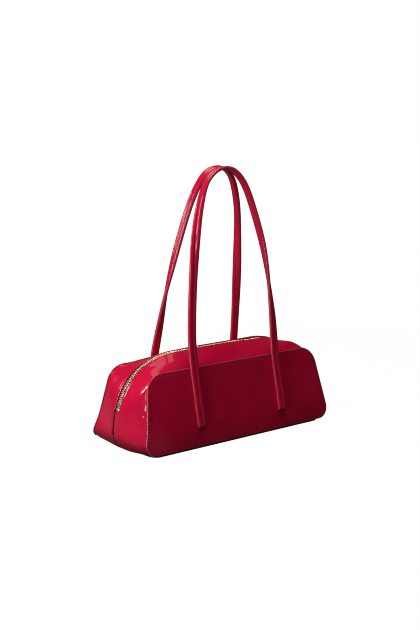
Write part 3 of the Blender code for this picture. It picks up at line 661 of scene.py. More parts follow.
def over_rings(values: Sequence[float], count: int, total: int, rest: float) -> Array:
    """A value a ring, repeated for the ring's points, and a rest for the points after the rings."""
    return np.append(np.repeat(values, count), np.full(total - len(values) * count, rest))


def thick_band(grid: Array, thickness: float, rim: int = 5) -> tuple[Array, Faces]:
    """A strip of leather from a grid of its outer face, with a round turned edge at its last column.

    Args:
        grid: Rows of points, each from the seam to the free edge. The rim stands past the last column.
        thickness: Thickness of the leather.
        rim: Points round the turned edge.

    Returns:
        Points and faces.
    """
    normals = grid_normals(grid)
    past = unit(grid[:, -1] - grid[:, -2])
    middle = grid[:, -1] - normals[:, -1] * thickness / 2
    sections = [grid]
    for index in range(1, rim + 1):
        angle = math.pi * index / (rim + 1)
        turned = normals[:, -1] * math.cos(angle) + past * math.sin(angle)
        sections.append((middle + turned * thickness / 2)[:, None])
    sections.append((grid - normals * thickness)[:, ::-1])
    ring = np.concatenate(sections, axis=1)
    return ring.reshape(-1, 3), loft_faces(*ring.shape[:2])


@dataclass(frozen=True)
class Stitching:
    """A row of sewn stitches along a line."""

    pitch: float = 4.0 * MM
    length: float = 2.3 * MM
    radius: float = 0.62 * MM
    lift: float = 0.04 * MM
    dive: float = 0.42 * MM
    slant: float = 0.12
    sides: int = 6
    spread: tuple[float, ...] = (-0.96, -0.75, -0.35, 0.0, 0.35, 0.75, 0.96)

    def build(self, name: str, path: Array, normals: Array) -> bpy.types.Object:
        """Sew a row.

        Args:
            name: The piece's name.
            path: Close points along the row, on the leather.
            normals: The leather's outward direction at each point.

        Returns:
            One object with a closed body for each stitch.
        """
        reach = lengths_along(path)
        count = int(reach[-1] / self.pitch)
        starts = (np.arange(count) + 0.5) * reach[-1] / count
        shares = np.array(self.spread)
        at = np.clip(starts[:, None] + shares * self.length / 2, 0, reach[-1])
        middle, out = read_along(path, reach, at), unit(read_along(normals, reach, at))
        course = unit(read_along(np.gradient(path, axis=0), reach, at))
        across = unit(np.cross(course, out))
        bend = np.abs(shares) ** 3
        middle = middle + out * (self.lift - self.dive * bend)[None, :, None]
        middle = middle + across * (shares * self.slant * self.length / 2)[None, :, None]
        size = self.radius * np.sqrt(1 - shares ** 2 * 0.92)
        turn = np.arange(self.sides) * 2 * math.pi / self.sides
        rings = middle[:, :, None] + (across[:, :, None] * np.cos(turn)[:, None]
                                      + out[:, :, None] * np.sin(turn)[:, None]) * size[None, :, None, None]
        per, faces = len(shares) * self.sides, []
        single = loft_faces(len(shares), self.sides)
        for index in range(count):
            faces += [tuple(index * per + i for i in face) for face in single]
        return new_object(name, rings.reshape(-1, 3), faces, 80.0)


# The bag's outlines, as the measured frame has them

# Walks at the middle of the top, of the upper corner, of the lower corner and of the foot
PANEL_CORNERS = (0.0, 2.5, 4.5, 7.0)


@dataclass(frozen=True)
class Straight:
    """A straight stretch of an outline."""

    start: Any
    end: Any

    @property
    def length(self) -> float:
        """Its length."""
        return float(np.linalg.norm(np.subtract(self.end, self.start)))

    def at(self, share: Array) -> Array:
        """Points at shares of the stretch."""
        return self.start + np.subtract(self.end, self.start) * share[:, None]

    def normal(self, share: Array) -> Array:
        """Outward directions at shares of the stretch."""
        along = np.subtract(self.end, self.start) / self.length
        return np.repeat([[-along[1], along[0]]], len(share), axis=0)


@dataclass(frozen=True)
class Round:
    """A clockwise round stretch of an outline."""

    centre: Any
    radius: float
    start: float
    end: float

    @property
    def length(self) -> float:
        """Its length."""
        return self.radius * (self.start - self.end)

    def normal(self, share: Array) -> Array:
        """Outward directions at shares of the stretch."""
        angle = self.start + (self.end - self.start) * share
        return np.stack([np.cos(angle), np.sin(angle)], axis=-1)

    def at(self, share: Array) -> Array:
        """Points at shares of the stretch."""
        return self.centre + self.radius * self.normal(share)


class Outline:
    """Stretches end to end. A walk of 2.5 is halfway along the third stretch."""

    def __init__(self, stretches: Sequence[Any]) -> None:
        """Take the stretches in order."""
        self.stretches = list(stretches)
        self.marks = np.concatenate([[0], np.cumsum([s.length for s in self.stretches])])

    def _read(self, walks: Array, what: str) -> Array:
        """Call one method of the stretch that each walk falls on.

        Args:
            walks: The walks, in any shape.
            what: Name of the method.

        Returns:
            One pair a walk.
        """
        walks = np.asarray(walks, float)
        index = np.minimum(walks.astype(int), len(self.stretches) - 1)
        found = np.empty((*walks.shape, 2))
        for k, stretch in enumerate(self.stretches):
            here = index == k
            found[here] = getattr(stretch, what)(walks[here] - k)
        return found

    def at(self, walks: Array) -> Array:
        """Points at walks."""
        return self._read(walks, "at")

    def normal(self, walks: Array) -> Array:
        """Outward directions at walks."""
        return self._read(walks, "normal")

    def walk_at(self, lengths: Array) -> Array:
        """Walks at lengths along the outline."""
        return np.interp(lengths, self.marks, np.arange(len(self.marks)))

    def length_at(self, walk: float) -> float:
        """Length along the outline at a walk."""
        return float(np.interp(walk, np.arange(len(self.marks)), self.marks))

    def even_walks(self, across: int, up: int) -> Array:
        """Walks down the right half at even steps, with as many along the top as along the foot.

        Args:
            across: Steps along the whole of the top.
            up: Steps down the end.

        Returns:
            Walks from the middle of the top to the middle of the foot.
        """
        marks = [self.length_at(walk) for walk in PANEL_CORNERS]
        spans = (across // 2, up, across // 2)
        lengths = [np.linspace(a, b, n, endpoint=False) for a, b, n in zip(marks, marks[1:], spans)]
        return np.append(self.walk_at(np.concatenate(lengths)), PANEL_CORNERS[-1])


@dataclass(frozen=True)
class Settling:
    """How far the soft leather moves away from the measured frame, and where."""

    swell: float = 2.6 * MM
    back_swell: float = 0.4 * MM
    swell_depth: Span = mm(-20, 45)
    swell_bell: Span = mm(11, 13)
    pinch: float = 1.2 * MM
    pinch_height: float = 8 * MM
    left_end: Span = mm(128, 148)
    corner_drop: float = 1.9 * MM
    corner_reach: Span = mm(143, 149)
    corner_height: Span = mm(-11, -4)
    shoulder_drop: float = 2.8 * MM
    shoulder_bell: Span = mm(-113, 22)
    shoulder_height: Span = mm(72, 96)
    shoulder_depth: Span = mm(18, 40)
    drift: float = 3.0 * MM
    drift_half: float = 50 * MM
    drift_reach: Span = mm(84, 122)
    fold: float = 9 * MM
    fold_top: float = 20 * MM
    fold_height: float = 18 * MM
    fold_reach: Span = mm(135, 148)
    crown: float = 0.9 * MM
    crown_bell: Span = mm(88, 26)
    top_right: Span = mm(30, 60)
    top_left: Span = mm(96, 122)
    top_height: Span = mm(80, 95)
    ridge: float = 1.2 * MM
    ridge_half: float = 34 * MM
    ridge_left: Span = mm(30, 75)
    slump: float = 3.0 * MM
    slump_near: Span = mm(2.5, 14)
    slump_far: Span = mm(22, 42)
    floor_gap: float = 0.1 * MM

    def move(self, points: Array) -> Array:
        """Let the left end sag round the sole's edge, swell over it and pull the zip's line to the back.

        Args:
            points: Places on the leather.

        Returns:
            The places after they have settled.
        """
        x, y, z = points[..., 0], points[..., 1], points[..., 2]
        swell = self.swell + self.back_swell * step(y, *self.swell_depth)
        pinch = self.pinch * np.clip(1 - z / self.pinch_height, 0, 1) ** 2
        out = step(-x, *self.left_end) * (bell(z, *self.swell_bell) * swell - pinch)
        drop = step(-x, *self.corner_reach) * step(-z, *self.corner_height) * self.corner_drop
        shoulder = bell(x, *self.shoulder_bell) * step(z, *self.shoulder_height)
        drop += shoulder * step(y, *self.shoulder_depth) * self.shoulder_drop
        end = self._hump(y, self.drift_half) * step(-x, *self.drift_reach)
        low = np.clip((self.fold_top - z) / self.fold_height, 0, 1) ** 3
        fold = low * self.fold * step(-x, *self.fold_reach)
        crown = end * bell(z, *self.crown_bell) * self.crown * 0.7
        top = (1 - step(x, *self.top_right)) * (1 - step(-x, *self.top_left)) * step(z, *self.top_height)
        ridge = top * self._hump(y, self.ridge_half) * self.ridge * (1 - step(-x, *self.ridge_left))
        slump = top * step(y, *self.slump_near) * (1 - step(y, *self.slump_far)) * self.slump
        moved = points.copy()
        moved[..., 0] -= out + crown
        moved[..., 1] += end * (self.drift - fold)
        moved[..., 2] = np.maximum(z + crown + ridge - slump - drop, self.floor_gap)
        return moved

    @staticmethod
    def _hump(values: Array, half: float) -> Array:
        """A smooth hump of height one over the middle that ends at a distance."""
        return (1 - np.clip(np.abs(values) / half, 0, 1) ** 2) ** 2


@dataclass(frozen=True)
class BagShape:
    """The main sizes of the bag and the outlines that follow from them."""

    base_length: float = 310 * MM
    top_length: float = 278 * MM
    base_depth: float = 129.7 * MM
    top_depth: float = 83.9 * MM
    panel_rise: float = 101.7 * MM
    upper_corner: float = 26 * MM
    front_lower_corner: float = 16 * MM
    back_lower_corner: float = 7.0 * MM
    least_corner: float = 0.4 * MM
    heel: float = 5 * MM
    ridge: float = 115.3 * MM
    end_reach: float = 158.7 * MM
    end_radius: float = 89.1 * MM
    crown: float = 0.4
    shoulder: float = math.radians(63)
    gap: float = 0.3 * MM
    panel_thickness: float = 2.4 * MM
    seam_proud: float = 0.5 * MM
    floor: float = 2.1 * MM
    board_half: float = 126 * MM
    zip_end_rise: float = 48 * MM
    slot_half: float = 5 * MM
    slot_end: float = 1.0 * MM
    crease: float = 4.8 * MM
    settling: Settling = Settling()

    @property
    def lean(self) -> float:
        """How far the panels lean in, in radians."""
        return math.atan2((self.base_depth - self.top_depth) / 2, self.panel_rise)

    @property
    def end_lean(self) -> float:
        """How far the ends lean in, in radians."""
        return math.atan2((self.base_length - self.top_length) / 2, self.panel_rise)

    @property
    def arc_centre(self) -> Array:
        """Centre of the round end of the middle profile, as x and height."""
        return np.array([self.end_reach - self.end_radius, self.ridge - self.end_radius])

    def panel_outline(self, side: Side, inset: float, foot: float) -> Outline:
        """Right half of a panel's outline, as x and height.

        Args:
            side: The panel's side.
            inset: How far the outline is set in from the panel's edge.
            foot: Height of its foot.

        Returns:
            Seven stretches, from the middle of the top to the middle of the foot.
        """
        top, lean = self.panel_rise - inset, self.end_lean
        reach = self.base_length / 2 * math.cos(lean) - inset
        upper = self.upper_corner - inset
        lower = self.front_lower_corner if side is Side.FRONT else self.back_lower_corner
        lower = max(lower - inset, self.least_corner)
        seat = self.board_half + self.gap

        def corner(radius: float, height: float) -> Array:
            """Centre of a corner that touches the end's line."""
            return np.array([(reach - radius - height * math.sin(lean)) / math.cos(lean), height])

        high, low = corner(upper, top - upper), corner(lower, foot + lower)
        edge = np.array([math.cos(lean), math.sin(lean)])
        middle = self.arc_centre[0]
        return Outline([
            Straight((0, top), (middle, top)),
            Straight((middle, top), (high[0], top)),
            Round(high, upper, math.pi / 2, lean),
            Straight(high + edge * upper, low + edge * lower),
            Round(low, lower, lean, -math.pi / 2),
            Straight((low[0], foot), (seat, foot)),
            Straight((seat, foot), (0, foot)),
        ])

    def centre_profile(self, inset: float) -> Outline:
        """Right half of the outline in the middle plane.

        Args:
            inset: How far it is set in from the outside.

        Returns:
            The same seven stretches as a panel's outline has.
        """
        centre, radius = self.arc_centre, self.end_radius - inset
        heel_height = self.floor + self.heel
        drop = heel_height - centre[1]
        heel = (centre[0] + math.sqrt((self.end_radius - self.heel) ** 2 - drop ** 2), heel_height)
        heel_angle = math.atan2(drop, heel[0] - centre[0])
        foot, seat = self.floor + inset, self.board_half + self.gap
        return Outline([
            Straight((0, centre[1] + radius), (centre[0], centre[1] + radius)),
            Round(centre, radius, math.pi / 2, self.shoulder),
            Round(centre, radius, self.shoulder, self.end_lean),
            Round(centre, radius, self.end_lean, heel_angle),
            Round(heel, self.heel - inset, heel_angle, -math.pi / 2),
            Straight((heel[0], foot), (seat, foot)),
            Straight((seat, foot), (0, foot)),
        ])

    def walk_at_angle(self, angle: float) -> float:
        """Walk along the centre profile to an angle of its big end arc, in radians over the horizontal."""
        arcs = self.centre_profile(0).stretches[1:4]
        return 1 + float(np.interp(-angle, [-arcs[0].start] + [-arc.end for arc in arcs], range(4)))

    @property
    def zip_end_angle(self) -> float:
        """Angle of the end arc at which the zip's slot ends."""
        return math.asin((self.zip_end_rise - self.arc_centre[1]) / self.end_radius)

    def settle(self, points: Array) -> Array:
        """Places on the leather after they have settled."""
        return self.settling.move(points)

    def face_y(self, height: Array, depth: float) -> Array:
        """Distance of a panel's face from the middle plane at a height, at a depth behind the face."""
        return self.base_depth / 2 - height * math.tan(self.lean) - depth / math.cos(self.lean)

    def panel_out(self, side: Side) -> Array:
        """Outward direction of a panel's face."""
        return np.array([0, side.value * math.cos(self.lean), math.sin(self.lean)])


@dataclass(frozen=True)
class Skin:
    """One side's bulging surface, from its panel's seam to the middle plane."""

    shape: BagShape
    side: Side
    inset: float
    depth: float
    flat_reach: float = 8.2 * MM

    @property
    def seam(self) -> Outline:
        """The seam beside the panel."""
        return self.shape.panel_outline(self.side, self.shape.seam_proud + self.inset,
                                        self.shape.floor + self.inset)

    def share_at(self, walks: Array, reach: Array) -> Array:
        """Share of the way from the seam to the middle where the skin is this far from the middle plane."""
        return 1 - reach / self.shape.face_y(self.seam.at(np.abs(walks))[..., 1], self.depth)

    def points(self, walks: Array, shares: Array) -> Array:
        """Places on the skin, by walks that are negative to the left and shares from the seam.

        Args:
            walks: Walks round the outline, one a row.
            shares: Shares of the way to the middle, by row and column.

        Returns:
            Points by row and column.
        """
        walks = np.broadcast_to(walks[:, None], shares.shape)
        hand = np.where(walks < 0, -1.0, 1.0)
        seam, middle = self.seam.at(np.abs(walks)), self.shape.centre_profile(self.inset).at(np.abs(walks))
        full = self.share_at(walks, self.flat_reach)
        climb = np.clip(shares / full, None, 1.0)
        rise = (climb * (1 + self.shape.crown * (1 - climb)))[..., None]
        place = seam * (1 - rise) + middle * rise
        y = self.side.value * self.shape.face_y(seam[..., 1], self.depth) * (1 - shares)
        return np.stack([hand * place[..., 0], y, place[..., 1]], axis=-1)


@dataclass(kw_only=True)
class Assembly:
    """A group of pieces that are built together."""

    shape: BagShape
    pieces: list[bpy.types.Object] = field(default_factory=list)

    def dress(self, obj: bpy.types.Object, finish: Dress, slot: Optional[str] = None,
              replaces: Sequence[str] = (), body: Optional[str] = Body.BAG.value) -> bpy.types.Object:
        """Give a piece its finish and its place in the frame.

        Args:
            obj: The piece.
            finish: Its finish.
            slot: The record's material slot, if it has one. Not used.
            replaces: CAD nodes that the piece stands for.
            body: The body that it rides on, or None, which leaves it on no body.

        Returns:
            The piece.
        """
        obj.data.materials.append(finish.material)
        if replaces:
            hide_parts(*replaces)
        if body:
            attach(obj, body)
        self.pieces.append(obj)
        return obj

    @staticmethod
    def repaint(node: str, finish: Dress) -> bpy.types.Object:
        """Give a CAD node that stays in view another finish.

        Args:
            node: The node's name.
            finish: The finish.

        Returns:
            The node's object.
        """
        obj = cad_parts[node]
        obj.data.materials.clear()
        obj.data.materials.append(finish.material)
        return obj

    def build(self) -> None:
        """Make the pieces. Each assembly has its own."""
        raise NotImplementedError


@dataclass(kw_only=True)
class Panel(Assembly):
    """One flat leather face with a rolled edge and a sewn groove inside it."""

    side: Side
    across: int = 132
    up: int = 46
    stitch_inset: float = 3.3 * MM
    stitch_height: float = -0.16 * MM
    stitch_walk: float = 4.85
    foot_drop: float = 0.9 * MM
    lift: float = 0.22 * MM
    lift_waves: Span = mm(26, 80)
    lift_start: Span = (2.4, 7.0)
    tab_bell: Span = mm(68, 11)
    tab_foot: Span = mm(14, 24)
    corner_reach: Span = mm(140, 7)
    corner_height: Span = mm(11, 7)
    pucker: float = 3.6 * MM
    # Painted shade, darker towards the foot
    shade_height: Span = mm(-42, -4)
    shade: float = 0.30
    # Painted sheen near the lower left corner, and a painted highlight along the rolled edge
    corner_sheen_reach: Span = mm(-133, 16)
    corner_sheen_height: Span = mm(17, 13)
    edge_highlight: Span = (0.7, 0.6)
    rub_and_sheen: float = 0.8
    # Inset, height over the face and share of painted shade, from the back edge to the flat, in mm
    edge: tuple[Colour, ...] = (
        (1.30, -2.95, 1.0), (0.45, -2.95, 1.0), (0.12, -2.70, 0.9), (0.0, -2.25, 0.5), (0.02, -1.70, 0.1),
        (0.15, -1.15, 0.0), (0.40, -0.68, 0.0), (0.78, -0.32, 0.0), (1.25, -0.08, 0.0), (1.80, 0.05, 0.0),
        (2.35, 0.03, 0.0), (2.80, -0.10, 0.0), (3.15, -0.30, 0.2), (3.50, -0.30, 0.2), (3.85, -0.06, 0.0),
        (4.4, 0.10, 0.0), (5.6, 0.12, 0.0), (8.0, 0.0, 0.0))

    @property
    def foot(self) -> float:
        """Height of the face's lowest edge."""
        return self.shape.floor - self.foot_drop + self.shape.panel_thickness * math.sin(self.shape.lean)

    def _lift(self, flat: Array) -> Array:
        """Unevenness of the leather: slow waves away from the strap's ends, and puckers at the corners.

        Args:
            flat: x and height pairs on the face.

        Returns:
            Heights over the face.
        """
        x, z = flat[..., 0], flat[..., 1]
        spot = np.stack([x, np.full_like(x, self.side.value * 50 * MM), z], axis=-1)
        calm = np.clip(1 - bell(np.abs(x), *self.tab_bell) * step(z, *self.tab_foot), 0, 1)
        lift = waves(spot, *self.lift_waves, 11 + self.side.value) * self.lift * calm
        for hand in (-1, 1):
            corner = bell(x * hand, *self.corner_reach) * bell(z, *self.corner_height)
            lift = lift + corner * np.cos(x * 2 * math.pi / self.pucker) * self.lift
        return lift

    def _world(self, flat: Array, height: Array) -> Array:
        """Settled points in the frame, from x and height pairs on the face and heights over it."""
        points = np.insert(flat, 1, self.side.value * self.shape.face_y(flat[..., 1], 0), axis=-1)
        return self.shape.settle(points + self.shape.panel_out(self.side) * height[..., None])

    def _ring(self, walks: Array, inset: float) -> Array:
        """A ring of x and height pairs at an inset: the right half, and the left half as its mirror image."""
        half = self.shape.panel_outline(self.side, inset, self.foot + inset).at(walks)
        return np.vstack([half, (half * (-1, 1))[-2:0:-1]])

    def _leather(self) -> None:
        """Make the face."""
        ring = self.shape.panel_outline(self.side, 3 * MM, self.shape.floor + 3 * MM)
        walks = ring.even_walks(self.across, self.up)
        start = 2 * len(walks) - 2 - self.across // 2
        insets, heights, shades = zip(*self.edge)
        rings = [np.roll(self._ring(walks, inset * MM), -start, axis=0) for inset in insets]
        count = len(rings[0])
        loops = [np.insert(ring, 2, height * MM, axis=1) for ring, height in zip(rings, heights)]
        points, faces = closed_rings(loops, self.across, self.up)
        seam = over_rings(shades, count, len(points), 0.0)
        inset = over_rings(insets, count, len(points), 20.0)
        front = points[:, 2] >= -1 * MM
        lift = self._lift(points[:, :2]) * step(inset, *self.lift_start) * front
        spots = self._world(points[:, :2], points[:, 2] + lift)
        obj = new_object(f"{self.side.word}_panel_leather", spots, faces)
        # Painted shade under the rolled edge, in the sewn groove and towards the foot
        foot = step(-points[:, 1], *self.shade_height)
        write_mark(obj, "seam", np.clip(seam + foot * self.shade, 0, 1))
        # Painted sheen near the lower left corner and a painted highlight along the rolled edge
        corner_sheen = bell(points[:, 0], *self.corner_sheen_reach) * bell(points[:, 1], *self.corner_sheen_height)
        write_mark(obj, "rub_and_sheen", np.clip(corner_sheen * self.rub_and_sheen + bell(inset, *self.edge_highlight) * self.rub_and_sheen, 0, 1))
        self.dress(obj, Dress.LEATHER, "glazed_leather", [f"{self.side.word}_panel"])

    def _stitches(self) -> None:
        """Sew the row inside the face's edge."""
        walks = np.linspace(-self.stitch_walk, self.stitch_walk, 1500)
        foot = self.shape.floor + self.stitch_inset + 0.5 * MM
        line = self.shape.panel_outline(self.side, self.stitch_inset, foot).at(np.abs(walks))
        line = line * np.column_stack([np.where(walks < 0, -1, 1), np.ones(len(walks))])
        path = self._world(line, np.full(len(line), self.stitch_height))
        out = np.tile(self.shape.panel_out(self.side), (len(line), 1))
        self.dress(Stitching().build(f"{self.side.word}_panel_stitches", path, out), Dress.DARK_THREAD)

    def build(self) -> None:
        """Make the face and its row of stitches."""
        self._leather()
        self._stitches()


@dataclass(frozen=True)
class Relief:
    """How one half of the gusset rises and falls over its plain surface, and where."""

    roll: float
    full: float
    dent: float = 0.0
    least_roll: float = 0.2 * MM
    roll_fade: Span = mm(-60, 20)
    roll_width: float = 6.5 * MM
    swell: float = 0.4 * MM
    swell_bell: Span = mm(14, 7)
    dent_reach: Span = mm(-122, 14)
    dent_bell: Span = mm(14, 9)
    full_reach: Span = mm(110, 26)
    full_bell: Span = mm(13, 12)
    full_start: Span = (0.0, 9 * MM)
    groove: float = 0.28 * MM
    groove_width: float = 0.8 * MM
    welt: float = 0.20 * MM
    welt_bell: Span = mm(7.0, 1.3)
    turned: float = 0.2 * MM
    turned_below: float = 1.2 * MM
    turned_width: float = 1.5 * MM
    wave: float = 0.22 * MM
    wave_lengths: Span = mm(24, 70)
    wave_from_seam: Span = mm(2, 12)
    wave_from_zip: Span = mm(10, 20)
    folds: int = 11
    folds_reach: Span = mm(110, 140)
    folds_bell: Span = mm(7, 6)
    fold_height: Span = mm(14, 66)
    fold_size: Span = mm(1.1, 2.0)
    fold_depth: Span = mm(0.35, 0.8)
    fold_tilt: Span = (-0.35, 0.30)


@dataclass(kw_only=True)
class Gusset(Assembly):
    """Half of the gusset: up one end, beside the zip along the ridge and down the other end."""

    side: Side
    thickness: float = 1.6 * MM
    stitch_reach: float = 8.75 * MM
    stitch_walk: float = 4.4
    columns: int = 30
    margin: int = 6
    crowding: float = 1.25
    row_step: float = 1.7 * MM
    least_step: float = 0.004
    sag: float = 10.5 * MM
    sag_top: float = 22 * MM
    sag_height: float = 19 * MM
    # Painted shade at the seam, along the crease below the zip and towards the foot
    seam_shade: float = 0.9
    seam_width: float = 0.9 * MM
    crease_width: float = 0.7 * MM
    foot_shade: float = 0.8
    foot_height: Span = mm(-32, -2)
    # Paler colour low on the left end, a painted sheen
    rub_and_sheen: float = 0.15
    rub_and_sheen_height: Span = mm(26, 14)
    rub_and_sheen_reach: float = -130 * MM
    reliefs: dict[Side, Relief] = field(default_factory=lambda: {
        Side.FRONT: Relief(roll=1.8 * MM, full=4.2 * MM),
        Side.BACK: Relief(roll=0.2 * MM, full=2.6 * MM, dent=1.2 * MM)})

    @property
    def skin(self) -> Skin:
        """The plain surface under the leather's relief."""
        return Skin(self.shape, self.side, 0.0, self.shape.panel_thickness + self.shape.gap)

    def _walks(self) -> Array:
        """Lay out the rows of the leather.

        Returns:
            Signed walks from the left foot to the right foot, closer together round the slot's ends.
        """
        profile = self.shape.centre_profile(0)
        total = profile.length_at(6.0)
        walks = profile.walk_at(np.linspace(0, total, int(total / self.row_step)))
        sweep = self.shape.slot_end / self.shape.end_radius
        extra = [self.shape.walk_at_angle(self.shape.zip_end_angle - sweep * math.sin(a))
                 for a in np.linspace(0, math.pi / 2, 9)]
        walks = np.unique(np.round(np.concatenate([walks, extra]), 6))
        keep = np.concatenate([[True], np.diff(walks) > self.least_step])
        walks = walks[keep]
        return np.concatenate([-walks[:0:-1], walks])

    def _below(self, walks: Array) -> Array:
        """Share from 0 beside the zip to 1 below it, by signed walk."""
        start, end = (self.shape.walk_at_angle(self.shape.zip_end_angle - reach / self.shape.end_radius)
                      for reach in (0.0, self.shape.slot_end))
        return np.clip((np.abs(walks) - start) / (end - start), 0, 1)

    def _edge(self, walks: Array) -> Array:
        """Reach of the free edge: beside the zip, and below it in to the crease.

        Args:
            walks: Signed walks.

        Returns:
            Distances from the middle plane.
        """
        sign, share = self.side.value, self._below(walks)
        height = self.shape.centre_profile(0).at(np.abs(walks))[:, 1]
        sag = np.clip((self.sag_top - height) / self.sag_height, 0, 1) ** 3 * self.sag
        crease = sign * (self.shape.crease - sag) + self.shape.gap / 2
        return crease + (self.shape.slot_half - crease) * np.sqrt(1 - share ** 2)

    def _shares(self, walks: Array) -> Array:
        """Lay out the columns: evenly to the stitches, then to the turned edge.

        Args:
            walks: Signed walks.

        Returns:
            Shares of the way from the seam, by row and column.
        """
        ease = np.linspace(0, 1, self.columns, endpoint=False) ** self.crowding
        main = self.skin.share_at(walks, np.full(len(walks), self.stitch_reach))[:, None] * ease
        width = self.stitch_reach - self._edge(walks)
        last = 1 - self.thickness / 2 / width
        steps = np.linspace(0, 1, self.margin)[None] * last[:, None]
        reach = self.stitch_reach - width[:, None] * steps
        margin = np.stack([self.skin.share_at(walks, column) for column in reach.T], axis=1)
        return np.concatenate([main, margin], axis=1)

    def _relief(self, base: Array, from_seam: Array, walks: Array) -> Array:
        """Height of the leather over its plain surface.

        Args:
            base: Points of the plain surface.
            from_seam: Their distances from the seam.
            walks: Signed walks, one a row.

        Returns:
            A rolled seam, sewn grooves, puckers and slow waves, as one height a point.
        """
        r = self.reliefs[self.side]
        x, z = base[..., 0], base[..., 2]
        own = base[..., 1] * self.side.value
        roll = r.least_roll + (r.roll - r.least_roll) * (1 - step(x, *r.roll_fade))
        relief = -roll * np.exp(-from_seam / r.roll_width) + r.swell * bell(from_seam, *r.swell_bell)
        relief -= r.dent * bell(x, *r.dent_reach) * bell(from_seam, *r.dent_bell)
        full = bell(x, *r.full_reach) * bell(from_seam, *r.full_bell)
        relief += r.full * full * step(from_seam, *r.full_start)
        relief -= r.groove * bell(own, self.stitch_reach, r.groove_width)
        relief += r.welt * bell(own, *r.welt_bell)
        from_edge = own - self._edge(walks)[:, None]
        turned = r.turned + r.turned_below * self._below(walks)[:, None]
        relief -= turned * np.exp(-from_edge / r.turned_width)
        calm = step(from_seam, *r.wave_from_seam) * step(own, *r.wave_from_zip)
        relief += waves(base, *r.wave_lengths, 31 + self.side.value) * r.wave * calm
        rng = np.random.default_rng(5 + self.side.value)
        for hand in (-1, 1):
            near = step(x * hand, *r.folds_reach) * bell(from_seam, *r.folds_bell)
            for _ in range(r.folds):
                spans = (r.fold_height, r.fold_size, r.fold_depth, r.fold_tilt)
                height, size, depth, tilt = (rng.uniform(*span) for span in spans)
                fold = z - height - tilt * from_seam
                relief += near * depth * (bell(fold, 0, size) - 0.6 * bell(fold, 1.9 * size, size))
        return relief

    def surface(self, walks: Array, shares: Array) -> tuple[Array, Array, Array]:
        """The leather's outer face.

        Args:
            walks: Signed walks, one a row.
            shares: Shares from the seam, by row and column.

        Returns:
            Points, outward normals and the distance from the seam.
        """
        base = self.skin.points(walks, shares)
        normals = grid_normals(base)
        middle = np.array([0, 0, 40 * MM])
        normals = normals * np.sign(np.sum(normals * (base - middle), axis=-1, keepdims=True).mean())
        gaps = np.linalg.norm(np.diff(base, axis=1), axis=-1)
        from_seam = np.concatenate([np.zeros((len(base), 1)), np.cumsum(gaps, axis=1)], axis=1)
        lifted = base + normals * self._relief(base, from_seam, walks)[..., None]
        return self.shape.settle(lifted), normals, from_seam

    def build(self) -> None:
        """Make the leather and the row of stitches beside the zip."""
        walks = self._walks()
        grid, normals, from_seam = self.surface(walks, self._shares(walks))
        if np.sum(grid_normals(grid) * normals) < 0:
            walks, grid, normals, from_seam = walks[::-1], grid[::-1], normals[::-1], from_seam[::-1]
        points, faces = thick_band(grid, self.thickness)
        obj = new_object(f"{self.side.word}_gusset_leather", points, faces)
        from_edge = np.linalg.norm(grid - grid[:, -1:], axis=-1)
        below = self._below(walks)[:, None]
        # Painted shade at the seam, in the crease below the zip and towards the foot
        shade = np.exp(-from_seam / self.seam_width) * self.seam_shade
        shade += below * np.exp(-from_edge / self.crease_width)
        shade += step(-grid[..., 2], *self.foot_height) ** 1.5 * self.foot_shade
        rows, columns = len(grid), grid.shape[1]
        # The turned edge and the inner face are painted dark as shade, except the edge's outer half beside
        # the zip
        seam = np.ones((rows, len(points) // rows))
        rub_and_sheen = np.zeros_like(seam)
        seam[:, :columns] = shade
        seam[:, columns:columns + 3] = below
        # Painted sheen: a paler colour low on the left end
        rub_and_sheen[:, :columns] = bell(grid[..., 2], *self.rub_and_sheen_height) * (grid[..., 0] < self.rub_and_sheen_reach) * self.rub_and_sheen
        write_mark(obj, "seam", np.clip(seam, 0, 1))
        write_mark(obj, "rub_and_sheen", np.clip(rub_and_sheen, 0, 1))
        self.dress(obj, Dress.LEATHER, "glazed_leather", [f"{self.side.word}_gusset"])
        row = (np.abs(walks) < self.stitch_walk, self.columns)
        stitches = Stitching().build(f"{self.side.word}_zip_stitches", grid[row], normals[row])
        self.dress(stitches, Dress.DARK_THREAD)


